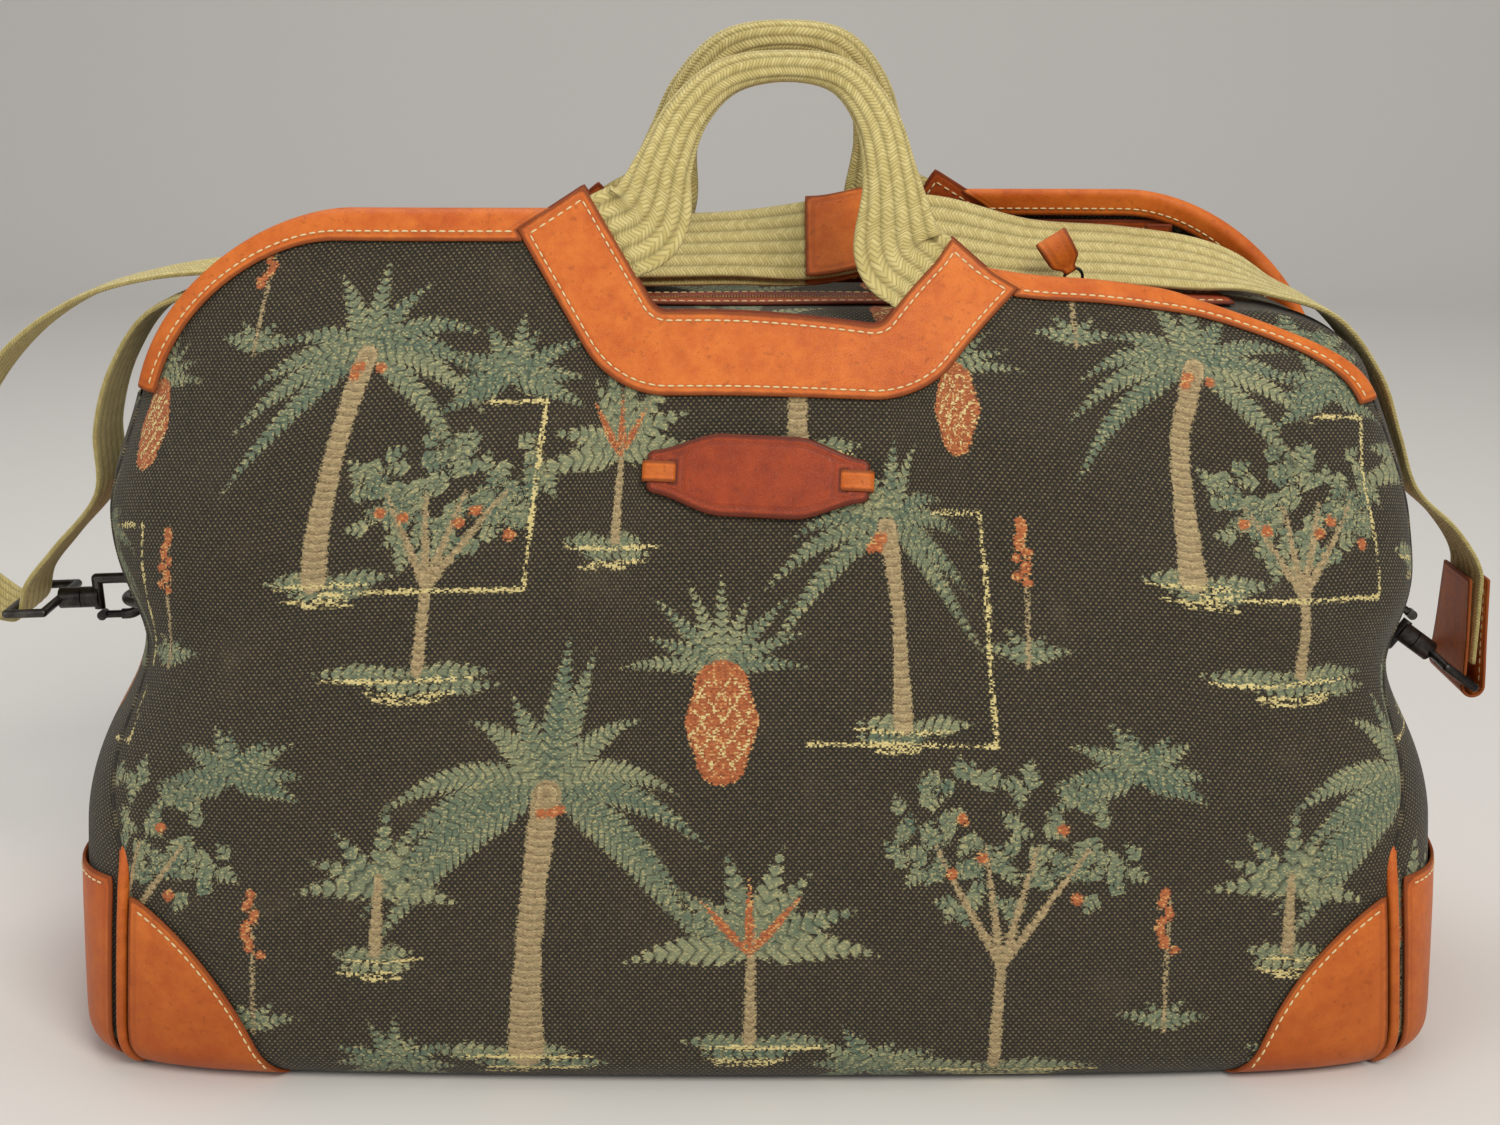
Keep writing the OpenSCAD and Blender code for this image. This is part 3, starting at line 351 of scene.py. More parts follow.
class Loom:
    """The woven picture over a lay of cloth: for each colour, how far inside its shapes a point lies."""

    def __init__(self, s, v):
        self.s, self.v = s.ravel(), v.ravel()
        self.ink = bare_cloth(self.s.size)
        self.tone, self.rib = np.zeros(self.s.size), np.zeros(self.s.size)

    def stroke(self, ink, line, widths, tone=0.5, pitch=3.0, slant=0.9):
        line = np.asarray(line, float)
        reach = max(widths) + 3
        lo, hi = line.min(0) - reach, line.max(0) + reach
        near = np.nonzero((self.s > lo[0]) & (self.s < hi[0]) & (self.v > lo[1]) & (self.v < hi[1]))[0]
        if not len(near):
            return
        p = np.stack([self.s[near], self.v[near]], -1)
        a, d = line[:-1], np.diff(line, axis=0)
        t = np.clip(((p[:, None] - a) * d).sum(-1) / np.maximum(1e-6, (d * d).sum(-1)), 0, 1)
        gaps = np.linalg.norm(p[:, None] - a - t[..., None] * d, axis=-1)
        k = gaps.argmin(1)
        pick = np.arange(len(near))
        gap, run = gaps[pick, k], run_of(line)
        along = run[k] + t[pick, k] * (run[k + 1] - run[k])
        inside = np.interp(along, np.linspace(0, run[-1], len(widths)), widths) - gap
        better = inside > self.ink[ink][near]
        self.ink[ink][near[better]] = inside[better]
        mark = better & (inside > -0.8)
        self.rib[near[mark]] = ((along - slant * gap) / pitch)[mark]
        self.tone[near[mark]] = np.clip(tone + 0.05 * gap, 0, 1)[mark]

    def frond(self, x, y, turn, long, droop, wide, tone=0.5, pitch=3.4):
        t = np.linspace(0, 1, 12)
        px = x + long * t * math.cos(turn)
        py = y + long * t * math.sin(turn) - droop * long * t * t
        widths = [0.6, wide, wide * 0.95, wide * 0.75, wide * 0.4, 0.3]
        self.stroke("leaf", np.stack([px, py], -1), widths, tone, pitch)

    def berry(self, x, y, r):
        self.stroke("rust", [(x - 0.2, y), (x + 0.2, y)], [r, r], 0.5, 2.2)

    def turf(self, x, y, wide, r):
        layers = (("leaf", 4.2), ("gold", 0.8), ("leaf", 3.6), ("gold", 0.7), ("gold", 0.6))
        for k, (ink, thick) in enumerate(layers):
            half = wide * (0.5 - 0.07 * k) * r.uniform(0.7, 1.0)
            at, low = x + r.uniform(-0.12, 0.12) * wide, y - 2.6 * k
            line = [(at - half, low), (at, low - r.uniform(0, 1.5)), (at + half, low)]
            self.stroke(ink, line, [0.2, thick, 0.5 * thick, thick, 0.2], r.uniform(0.1, 0.9), 4.0)

    def palm(self, x, y, tall, spread, count, r, lean=0.0):
        self.turf(x, y, spread, r)
        t = np.linspace(0, 1, 8)
        top = (x + lean * tall, y + tall)
        self.stroke("wood", np.stack([x + lean * tall * t * t, y + tall * t], -1),
                    [spread * 0.095, spread * 0.07, spread * 0.062, spread * 0.075], 0.5, 3.2, 0.2)
        for k in range(count):
            turn = math.radians(mix(-24, 204, k / (count - 1)) + r.uniform(-7, 7))
            droop = 0.5 * abs(math.cos(turn)) + 0.12
            self.frond(*top, turn, spread * r.uniform(0.72, 1.0), droop, spread * 0.082, r.uniform(0.1, 0.9))
        for _ in range(4):
            self.berry(top[0] + r.uniform(-6, 6), top[1] - 4 - r.uniform(0, 4), 1.9)

    def broadleaf(self, x, y, tall, count, r, bloom=True):
        self.turf(x, y, tall * 0.7, r)
        self.stroke("wood", [(x, y), (x + 1, y + tall * 0.5)], [2.4, 1.5], 0.5, 3.0)
        fork = y + tall * 0.4
        for k in range(count):
            turn = math.radians(mix(10, 170, k / (count - 1)) + r.uniform(-8, 8))
            self.frond(x + 1, fork, turn, tall * r.uniform(0.45, 0.62), 0.28 * abs(math.cos(turn)),
                       tall * 0.075, r.uniform(0.2, 1.0), 5.2)
        for turn in np.radians([50, 90, 130] if bloom else []):
            tip = (x + tall * 0.34 * math.cos(turn), y + tall * (0.4 + 0.34 * math.sin(turn)))
            self.stroke("rust", [(x, fork), tip], [0.4, 2.0, 1.2, 0.2], 0.5, 2.4)

    def bush(self, x, y, wide, r):
        for k in range(9):
            turn = math.radians(mix(-10, 190, k / 8) + r.uniform(-9, 9))
            self.frond(x, y, turn, wide * r.uniform(0.4, 0.6), 0.25, wide * 0.075, r.uniform(0, 0.6), 3.0)

    def shade_tree(self, x, y, tall, r):
        self.turf(x, y, tall * 0.8, r)
        cx, cy = x + 0.06 * tall, y + 0.72 * tall
        for k in range(4):
            branch = [(x, y), (x + 0.02 * tall, y + 0.34 * tall), (cx + (k - 1.5) * tall * 0.16, cy)]
            self.stroke("wood", branch, [2.4, 1.7, 0.8], 0.5, 3.0)
        for _ in range(86):
            turn, far = r.uniform(0, 6.28), math.sqrt(r.uniform(0, 1))
            lx, ly = cx + far * 0.4 * tall * math.cos(turn), cy + far * 0.24 * tall * math.sin(turn)
            self.frond(lx, ly, r.uniform(0, 6.28), 9.5, 0.1, 3.6, r.uniform(0.0, 0.8), 3.2)
        for _ in range(5):
            self.berry(cx + r.uniform(-0.3, 0.3) * tall, cy + r.uniform(-0.2, 0.1) * tall, 2.2)

    def pine_fruit(self, x, y, tall, r):
        body = [(x, y + 0.1 * tall), (x, y + 0.42 * tall)]
        self.stroke("rust", body, [tall * 0.11, tall * 0.165, tall * 0.12], 0.5, 3.0, 1.0)
        for k in range(-3, 4):
            for lean in (-0.17 * tall, 0.17 * tall):
                mid, belly = x + k * tall * 0.09, y + 0.26 * tall
                line = np.linspace((mid - lean, y + 0.02 * tall), (mid + lean, y + 0.52 * tall), 16)
                line = [q for q in line if math.hypot((q[0] - x) / 0.15, (q[1] - belly) / 0.23) < tall]
                if len(line) > 1:
                    self.stroke("gold", line, [0.25, 0.35], 0.5)
        for k in range(9):
            turn = math.radians(mix(12, 168, k / 8))
            self.frond(x, y + 0.5 * tall, turn, tall * r.uniform(0.36, 0.5), 0.2 * abs(math.cos(turn)),
                       tall * 0.04, r.uniform(0.2, 0.9), 3.0)

    def flower(self, x, y, tall, r):
        self.stroke("wood", [(x, y), (x + 1.5, y + tall)], [0.8, 0.6], 0.5, 3.0)
        for k in range(11):
            self.berry(x + r.uniform(-4, 4) * (1 - k / 14), y + tall * (0.62 + 0.045 * k), 1.7)
        for turn in (0.5, 1.1, 2.0, 2.6):
            self.frond(x, y + 2, turn, tall * r.uniform(0.3, 0.45), 0.3, 3.2, 0.4)

    def frame_line(self, x, y, wide, tall, r):
        """Part of a picture frame: a long broken line, a corner and a short line."""
        right, top = x + wide, y + tall
        inner = right - 0.3 * wide
        for line in (((x, y), (right, y)), ((right, y), (right, top)), ((inner, top), (right, top))):
            self.stroke("gold", line, [r.uniform(0.3, 1.0) for _ in range(14)], 0.5, 4.0)

    def garden(self):
        """One repeat of the cloth, planted again in each block and tier."""
        for block in range(-2, 3):
            for tier in range(-1, 2):
                r = np.random.RandomState(11)
                ox, oy = 343.0 * block + 120 * (tier % 2), 356.0 * tier
                self.palm(ox + 62, oy + 30, 100, 74, 13, r, 0.06)
                self.broadleaf(ox + 146, oy + 34, 86, 8, r)
                self.shade_tree(ox + 238, oy + 24, 120, r)
                self.bush(ox + 190, oy + 20, 56, r)
                self.bush(ox + 12, oy + 22, 50, r)
                self.flower(ox + 302, oy + 38, 52, r)
                self.broadleaf(ox + 6, oy + 70, 58, 7, r, False)
                self.pine_fruit(ox + 136, oy + 134, 84, r)
                self.palm(ox + 204, oy + 156, 72, 50, 11, r, -0.1)
                self.bush(ox + 294, oy + 136, 62, r)
                self.flower(ox + 256, oy + 178, 50, r)
                self.shade_tree(ox + 16, oy + 176, 92, r)
                self.palm(ox + 318, oy + 212, 84, 56, 11, r, 0.12)
                self.broadleaf(ox + 92, oy + 224, 78, 8, r)
                self.pine_fruit(ox + 236, oy + 256, 66, r)
                self.palm(ox + 164, oy + 258, 62, 44, 10, r)
                self.bush(ox + 40, oy + 284, 58, r)
                self.flower(ox + 284, oy + 300, 44, r)
                self.frame_line(ox + 168, oy + 148, 74, 86, r)
                self.frame_line(ox - 22, oy + 206, 76, 70, r)
        return {**self.ink, "tone": self.tone, "rib": self.rib}


def bare_cloth(count):
    """Values of a stretch of cloth without figures: each point lies far outside every shape."""
    return {ink: np.full(count, -9.0) for ink in ("leaf", "wood", "gold", "rust")}


def runs(p):
    """How far each point of a grid lies along its row and up its column, in millimetres."""
    along = np.cumsum(np.linalg.norm(np.diff(p, axis=1), axis=-1), 1)
    up = np.cumsum(np.linalg.norm(np.diff(p, axis=0), axis=-1), 0)
    return np.pad(along, ((0, 0), (1, 0))), np.pad(up, ((1, 0), (0, 0)))


def tapestry_piece(name, p, shift, nodes):
    rows, cols = p.shape[:2]
    s, v = runs(p)
    s, v = s - s[:, [cols // 2]] + shift[0], v + shift[1]
    return add_piece(name, p.reshape(-1, 3), grid_faces(rows, cols), tapestry, nodes,
                     uv=np.stack([s + 600, v + 100], -1).reshape(-1, 2), values=Loom(s, v).garden())


def hemmed(cols, rows):
    """Places across and up a panel, from -1 to 1 and 0 to 1, and how far its turned-in edges lie below."""
    across = np.concatenate([[-1], np.linspace(-1, 1, cols), [1]])
    up = np.concatenate([[0, 0], np.linspace(0, 1, rows), [1, 1]])
    out = np.zeros((up.size, across.size))
    out[:, [0, -1]] = -CLOTH_T
    out[0], out[1], out[-2], out[-1] = -9.0, -4.0, -1.0, -CLOTH_T
    return across, up, out


tapestry = weave_finish()
for side, name, shift in ((-1, "front_panel", (150.0, 0.0)), (1, "back_panel", (20.0, 0.0))):
    u, v, out = hemmed(372, 248)
    u = u * 0.9985 * -side
    z = mix(FOOT, panel_top(u)[None, :], v[:, None])
    cloth = tapestry_piece(name + "_cloth", panel_pt(side, u[None, :], z, out), shift, [name])
for end, name in ((-1, "left_end_panel"), (1, "right_end_panel")):
    w, v, out = hemmed(150, 180)
    w = w * 0.997 * end
    z = mix(FOOT, SEAM_TOP, v[:, None]) + 0 * w[None, :]
    cloth = tapestry_piece(name + "_cloth", end_pt(end, w[None, :], z, out), (end * 260.0, 0.0), [name])

# Base: the bottom is a plain piece of the same cloth over a stiff fibre board, which lies loose inside. It
# is sewn in at the foot of the panels and is hidden when the bag stands.
BASE_Z, BASE_IN = 2.0, -2.6
short, long = np.linspace(-0.97, 0.97, 24), np.linspace(-0.985, 0.985, 60)
outline = np.concatenate([end_pt(1, short, BASE_Z, BASE_IN), panel_pt(1, long[::-1], BASE_Z, BASE_IN),
                          end_pt(-1, short[::-1], BASE_Z, BASE_IN), panel_pt(-1, long, BASE_Z, BASE_IN)])
n = len(outline)
levels = ((0.99, 0.3), (1.0, 1.0), (0.995, 2.3), (0.98, 2.6))
points = np.concatenate([np.c_[outline[:, :2] * k, np.full(n, h)] for k, h in levels])


def sweep_faces(rings, sides):
    """Faces round a row of rings, closed at both ends."""
    i = np.arange(rings * sides).reshape(rings, sides)
    walls = np.stack([i[:-1], np.roll(i[:-1], -1, 1), np.roll(i[1:], -1, 1), i[1:]], -1).reshape(-1, 4)
    return [walls, i[:1, ::-1], i[-1:]]


def coat_node(node, finish):
    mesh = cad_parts[node].data
    mesh.materials.clear()
    mesh.materials.append(finish)


base = add_piece("base_cloth", points, sweep_faces(4, n), tapestry, ["base_panel"],
                 uv=points[:, :2] + 600, values=bare_cloth(len(points)))
fibre_board, w = new_finish("fibre board")
w.surface(Base_Color=w.noise(220.0, 4.0).blend(paint(110, 86, 58), paint(160, 132, 94)), Roughness=0.8)
coat_node("base_board", fibre_board)

# Corner and end patches: tan leather guards the bottom corners, a rounded patch on each face and a straight
# one across each end. They are cut with a knife, burnished at the edge and sewn on with cream thread.
HIDE_T, LAY = 1.4, 0.6


def hide_finish(name, light, dark, gloss, coat=0.0):
    finish, w = new_finish(name)

    def darker(part):
        return paint(*[c * part for c in dark])

    broad, patchy, specks = w.noise(22.0, 4.0, 0.6), w.noise(140.0, 5.0, 0.65), w.noise(420.0, 2.0)
    pores = w.node("ShaderNodeTexVoronoi", {"feature": "DISTANCE_TO_EDGE"}, Vector=w.place(), Scale=900.0)
    edge = w.attribute("edge")
    tone = (0.55 * broad + 0.45 * patchy).step(0.32, 0.68)
    colour = tone.blend(paint(*dark), paint(*light))
    colour = (specks.step(0.6, 0.72) * 0.35).blend(colour, darker(0.72))
    # the burnished rim, the groove that the thread is pulled into, and painted shade near the floor
    # on the name tag the edge value is also low over each slot, so this darkening paints the slots as painted
    # shade
    rim = 1 - (edge + (patchy - 0.5) * 0.8).step(0.1, 1.3)
    colour = (rim * 0.75).blend(colour, darker(0.55))
    seat = 1 - ((edge - 2.6) * (edge - 2.6)).step(0.1, 1.4)
    colour = (seat * 0.22).blend(colour, darker(0.7))
    level = w.node("ShaderNodeSeparateXYZ", out=2, Vector=w.place())
    # painted shade: the leather is painted darker towards the floor
    low_shade = 1 - (level + 0.05 * (broad - 0.5)).step(0.0, 0.11)
    colour = (low_shade * 0.5).blend(colour, darker(0.72))
    height = 0.5 * pores.step(0.0, 0.12) + 0.5 * patchy - 0.5 * seat
    w.surface(Base_Color=colour, Roughness=gloss + 0.18 * patchy + 0.15 * rim,
              Normal=w.bump(0.35, 0.0004, height), Specular_IOR_Level=0.3, Coat_Weight=coat,
              Coat_Roughness=0.18)
    return finish


def unit(v):
    return v / np.maximum(1e-9, np.linalg.norm(v, axis=-1, keepdims=True))


def normals(p):
    return unit(np.cross(np.gradient(p, axis=1), np.gradient(p, axis=0)))


def hide_mesh(p, thick):
    """A grid of points as a closed leather piece: its top, a rounded rim and its underside."""
    rows, cols = p.shape[:2]
    normal = normals(p)
    loop = ([(0, c) for c in range(cols)] + [(r, cols - 1) for r in range(1, rows)]
            + [(rows - 1, c) for c in range(cols - 2, -1, -1)] + [(r, 0) for r in range(rows - 2, 0, -1)])
    rr, cc = np.array(loop).T
    border, up = p[rr, cc], normal[rr, cc]
    n, top = len(loop), rows * cols
    way = unit(np.cross(np.roll(border, -1, 0) - np.roll(border, 1, 0), up))
    r = thick / 2
    rims = [border + way * r * math.sin(a) - up * r * (1 - math.cos(a)) for a in np.radians([45, 90, 135])]
    points = np.concatenate([p.reshape(-1, 3), *rims, (p - normal * thick).reshape(-1, 3)])
    first = rr * cols + cc
    rings = [first] + [top + k * n + np.arange(n) for k in range(3)] + [top + 3 * n + first]
    faces = [grid_faces(rows, cols), grid_faces(rows, cols, top + 3 * n)[:, ::-1]]
    for a, b in zip(rings[:-1], rings[1:]):
        faces.append(np.stack([a, b, np.roll(b, -1), np.roll(a, -1)], -1))
    s, v = runs(p)
    inset = np.minimum(np.minimum(s, s[:, -1:] - s), np.minimum(v, v[-1:] - v)).ravel()
    return points, np.concatenate(faces), np.concatenate([inset, np.zeros(3 * n), inset])


def hide_piece(name, p, finish, nodes, thick=HIDE_T, body="bag"):
    points, faces, edge = hide_mesh(p, thick)
    return add_piece(name, points, faces, finish, nodes, body, values={"edge": edge})


def resample(at, run, line):
    return np.stack([np.interp(at, run, line[:, k]) for k in range(line.shape[1])], -1)


def row_of_stitches(line, normal, pitch=3.5, long=2.7, thick=0.42):
    """Points and faces of a row of small tapered stitches along a line on a surface."""
    run = run_of(line)
    count = max(1, int(run[-1] / pitch))
    at = (np.arange(count) + 0.5) * run[-1] / count
    mid, up = resample(at, run, line), unit(resample(at, run, normal))
    t = unit(resample(at + 0.5, run, line) - resample(at - 0.5, run, line))
    b = unit(np.cross(up, t))
    rings = []
    for f, r, lift in ((-0.5, 0.45, -0.1), (-0.25, 1.0, 0.3), (0.25, 1.0, 0.3), (0.5, 0.45, -0.1)):
        for turn in np.radians([45, 135, 225, 315]):
            off = b * math.cos(turn) + up * (math.sin(turn) * 0.8 + lift)
            rings.append(mid + t * f * long + off * thick * r)
    one = np.concatenate(sweep_faces(4, 4))
    faces = (one[None] + 16 * np.arange(count)[:, None, None]).reshape(-1, 4)
    return np.stack(rings, 1).reshape(-1, 3), faces


def stitching(name, rows):
    points, faces, start = [], [], 0
    for line, normal in rows:
        p, f = row_of_stitches(line, normal)
        points.append(p)
        faces.append(f + start)
        start += len(p)
    return add_piece(name, np.concatenate(points), np.concatenate(faces), cream_thread)


def inset_row(p, r, c):
    """A line over a grid of points at fractional rows and columns, with its normals."""
    r, c = np.broadcast_arrays(np.asarray(r, float), np.asarray(c, float))
    r0, c0 = np.clip(r.astype(int), 0, p.shape[0] - 2), np.clip(c.astype(int), 0, p.shape[1] - 2)
    fr, fc = (r - r0)[:, None], (c - c0)[:, None]

    def at(g):
        low, high = (g[k, c0] * (1 - fc) + g[k, c0 + 1] * fc for k in (r0, r0 + 1))
        return low * (1 - fr) + high * fr

    return at(p), at(normals(p))


cream_thread, w = new_finish("cream thread")
fluff = w.noise(900.0, 2.0)
w.surface(Base_Color=fluff.blend(paint(206, 176, 116), paint(242, 224, 176)), Roughness=0.7,
          Normal=w.bump(0.4, 0.0002, fluff))
tan_hide = hide_finish("tan leather", (222, 120, 42), (190, 86, 22), 0.36)
PATCH_W, PATCH_H, PATCH_ROUND = 58, 73, 1.45
for side, end, corner in CORNERS:
    d = np.linspace(4.6, 57.6, 46)[::side * end]
    top = FOOT + PATCH_H * np.maximum(0, 1 - (d / PATCH_W) ** PATCH_ROUND) ** (1 / PATCH_ROUND)
    v = np.concatenate([[0], np.linspace(0.02, 1, 44)])
    z = mix(FOOT, top[None, :], v[:, None])
    p = panel_pt(side, end * (1 - d[None, :] / seam(z)[0]), z, LAY + 0.3 + HIDE_T)
    hide_piece(f"{corner}_corner_patch", p, tan_hide, [f"{corner}_corner"])
    down = np.minimum(3.2 / np.maximum(6, top - FOOT) * 44, 30)
    stitching(f"{corner}_corner_stitches", [inset_row(p, 44 - down, np.clip(np.arange(46), 2.4, 43))])
for end, hand in ENDS:
    across = np.linspace(-1, 1, 90) * end
    v = np.concatenate([np.linspace(0, 0.2, 14), np.linspace(0.24, 1, 24)])
    z = mix(FOOT, 78.0, v[:, None]) + 0 * across[None, :]
    p = end_pt(end, across[None, :] * (1 - 2.4 / seam(z)[1]), z, LAY + HIDE_T)
    hide_piece(f"{hand}_end_leather", p, tan_hide, [f"{hand}_end_patch"])
    stitching(f"{hand}_end_stitches", [inset_row(p, 35.9, np.linspace(1, 88, 88))])

# Seam piping: a thin leather strip folded round a cord is caught in each upright seam beside the corner
# patches and dies into the seam above them. From there up the seam is closed over a cord of the cloth.


def tube(line, radius, sides=10):
    t = unit(np.gradient(line, axis=0))
    a = unit(np.cross(np.broadcast_to([0.0, 1.0, 0.0], t.shape), t))
    turn = np.linspace(0, 2 * math.pi, sides, endpoint=False)[None, :, None]
    points = line[:, None] + radius * (np.cos(turn) * a[:, None] + np.sin(turn) * np.cross(t, a)[:, None])
    return points.reshape(-1, 3), sweep_faces(len(line), sides)


for side, end, corner in CORNERS:
    z = np.linspace(2.0, 100.0, 70)
    sink = 1.0 - 3.6 * smooth01((z - 72) / 26)
    points, faces = tube(panel_pt(side, end, z, sink), 2.2)
    add_piece(f"{corner}_seam_piping", points, faces, tan_hide, [f"{corner}_piping"],
              values={"edge": np.full(len(points), 1.1)})
    z = np.linspace(86.0, 249.0, 90)
    points, faces = tube(panel_pt(side, end, z, -0.9), 1.5)
    add_piece(f"{corner}_seam_cord", points, faces, tapestry,
              uv=np.repeat(np.stack([z, z], -1), 10, 0) + 600, values=bare_cloth(len(points)))

# Top binding and facings: the panels' top edges are bound with a strip of leather folded over the cloth and
# sewn through with one row of thread. Inside, a wider facing lines the top down to the zip.
# the leather inside the bag is the tan leather painted darker and redder, as painted shade
shaded_tan_hide = hide_finish("tan leather in painted shade", (200, 96, 40), (156, 62, 22), 0.4)
BAND_W, ARM_LEN, BAND_MID = 28.0, 60.0, 271.0
BAND_KNEE = NOTCH_HALF + BAND_W / 2 / math.tan((math.pi - ARM) / 2)
CORNER_Z = BAND_MID + ARM_LEN * math.sin(ARM) - BAND_W / 2 * math.cos(ARM)
STRAIGHT, FACING_FOOT, FACING_HEAD, INSIDE = PANEL_HALF - CORNER_R, 276.0, 309.0, -3.0


def band_out_x(z):
    """Where the patch ends at a height: at the arm's outer side, and above its corner at the arm's end."""
    side_x = BAND_KNEE + (np.minimum(z, CORNER_Z) - BAND_MID) / math.tan(ARM) + BAND_W / 2 / math.sin(ARM)
    return side_x - np.maximum(0, z - CORNER_Z) * math.tan(ARM)


lay = LAY + 0.2 + HIDE_T
half = (CLOTH_T + 2 * lay) / 2
over = np.linspace(0, math.pi, 7)
down = np.concatenate([np.linspace(9, 1.0, 8), 1.0 - lay * 1.3 * np.sin(over)[1:-1], np.linspace(1.0, 9, 8)])
out = np.concatenate([np.full(8, lay), lay - half * (1 - np.cos(over))[1:-1], np.full(8, lay - 2 * half)])
for side, end, corner in CORNERS:
    x = np.concatenate([np.linspace(band_out_x(TOP_Z) + 3 + end * HANDLE_X, STRAIGHT, 60),
                        STRAIGHT + CORNER_R * np.sin(np.linspace(0.03, math.radians(86), 50))])
    d = np.clip((x - STRAIGHT) / CORNER_R, 0, 1)
    way = np.stack([-d, -np.sqrt(1 - d * d)], -1)
    e = np.stack([x, edge_z(x)], -1)[None] + down[:, None, None] * way[None]
    butt = (band_out_x(e[..., 1]) + 0.5 + end * HANDLE_X) * PANEL_HALF / seam(e[..., 1])[0]
    e[..., 0] = e[..., 0] + (butt - x[0]) * np.clip((STRAIGHT - x) / 60, 0, 1) ** 2
    p = panel_pt(side, end * e[..., 0] / PANEL_HALF, e[..., 1], out[:, None])[:, ::-side * end]
    hide_piece(f"{corner}_top_binding", p, tan_hide, [f"{corner}_binding"], 1.2)
    run = np.linspace(1, p.shape[1] - 2, 100)
    stitching(f"{corner}_binding_stitches", [inset_row(p, r, run) for r in (2.4, p.shape[0] - 3.4)])
    c, v = np.linspace(0, 1, 40), np.linspace(0, 1, 20)
    x_in = mix(band_out_x(FACING_FOOT), band_out_x(FACING_HEAD), v)[:, None] + 3 + end * HANDLE_X
    x = mix(x_in, STRAIGHT + 4, c[None, :])
    p = face_pt(side, end * x, mix(FACING_FOOT, edge_z(x) - 12, v[:, None]), INSIDE)[:, ::side * end]
    hide_piece(f"{corner}_top_facing", p, shaded_tan_hide, [f"{corner}_facing"])
    stitching(f"{corner}_facing_stitches", [inset_row(p, 17.3, np.linspace(1, 38, 38))])

# Handle patches: a U-shaped band of tan leather is sewn round the notch of each panel, outside and inside,
# and its two arms carry the handles. It is sewn close to the edge all the way round.


def band_line(count):
    """The middle line of the band, from one arm's end to the other's, and the direction across it."""
    fillet = BAND_W / 2 + 8
    cut = fillet * math.tan(ARM / 2)
    bar, arc, arm = BAND_KNEE - cut, fillet * ARM, ARM_LEN - cut
    s = np.linspace(-(bar + arc + arm), bar + arc + arm, count)
    a = np.abs(s)
    turn = np.clip((a - bar) / fillet, 0, ARM)
    go = np.maximum(0, a - bar - arc)
    x = np.minimum(a, bar) + fillet * np.sin(turn) + go * math.cos(ARM)
    z = BAND_MID + fillet * (1 - np.cos(turn)) + go * math.sin(ARM)
    return np.stack([np.sign(s) * x, z], -1), np.stack([-np.sign(s) * np.sin(turn), np.cos(turn)], -1)


mid, across = band_line(150)
at = mid[None] + np.linspace(-0.5, 0.5, 26)[:, None, None] * BAND_W * across[None]
cols, rows = np.linspace(2.6, 146.4, 150), np.linspace(2.2, 22.8, 20)
for side, far in FACES:
    for kind, hide, out, turned in (("handle", tan_hide, LAY + HIDE_T, -side),
                                    ("inner", shaded_tan_hide, INSIDE, side)):
        p = face_pt(side, HANDLE_X + at[..., 0], at[..., 1], out)[:, ::turned]
        hide_piece(f"{far}_{kind}_patch_leather", p, hide, [f"{far}_{kind}_patch"])
        stitching(f"{far}_{kind}_patch_stitches", [inset_row(p, 2.3, cols), inset_row(p, 22.7, cols),
                                                   inset_row(p, rows, 2.4), inset_row(p, rows, 146.6)])

# Webbing handles: two handles of ribbed cotton webbing, sewn between the arms of the outer and inner patches.
# Each lies flat where it leaves the leather and folds together lengthwise to a rounded grip over the arch.
WEB_W, WEB_T = 38.0, 2.6


def web_finish():
    finish, w = new_finish("khaki webbing")
    rib_w, yarn_w = 3.1, 1.35
    along, across = w.lay()
    rib = w.attribute("rib")
    place = (along + 0.55 * w.math("PINGPONG", across, rib_w)) / yarn_w
    hump = w.math("ABSOLUTE", w.math("FRACT", place) - 0.5)
    each = w.chance(w.math("FLOOR", place), w.math("FLOOR", across / rib_w))
    colour = (0.6 * each + 0.4 * w.noise(45.0, 4.0)).blend(paint(190, 172, 104), paint(228, 212, 146))
    # painted shade: the grooves between the ribs and the lines between the yarns are painted darker
    colour = ((1 - rib) * 0.55).blend(colour, paint(112, 98, 54))
    colour = (hump.step(0.3, 0.5) * 0.4).blend(colour, paint(128, 112, 62))
    w.surface(Base_Color=colour, Roughness=0.82, Sheen_Weight=0.15, Specular_IOR_Level=0.3,
              Normal=w.bump(0.6, 0.0005, rib * 0.6 - hump.step(0.2, 0.5)))
    return finish


webbing = web_finish()


def curve(points, steps):
    """A smooth line through the points."""
    p = np.asarray(points, float)
    q = np.concatenate([p[:1], p, p[-1:]])
    t = np.linspace(0, 1, steps, endpoint=False)[None, :, None]
    a, b, c, d = (q[k:len(q) - 3 + k][:, None] for k in range(4))
    line = 2 * b + (c - a) * t + (2 * a - 5 * b + 4 * c - d) * t ** 2 + (3 * b - a - 3 * c + d) * t ** 3
    return np.concatenate([0.5 * line.reshape(-1, p.shape[1]), p[-1:]])


def web_ring(a, b, power, count=84, ribs=12, depth=0.5):
    """Points evenly round a ribbed section with half sizes a and b, and how high on a rib each lies."""
    turn = np.linspace(0, 2 * math.pi, 721)
    c, s = np.cos(turn), np.sin(turn)
    shape = np.stack([a * np.sign(c) * np.abs(c) ** power, b * np.sign(s) * np.abs(s) ** power], -1)
    run = run_of(shape)
    at = np.linspace(0, run[-1], count, endpoint=False)
    ring = resample(at, run, shape)
    way = unit(np.roll(ring, -1, 0) - np.roll(ring, 1, 0))
    high = np.abs(np.sin(math.pi * ribs * at / run[-1])) ** 0.6
    return ring + np.stack([way[:, 1], -way[:, 0]], -1) * (depth * (high - 1))[:, None], high, at


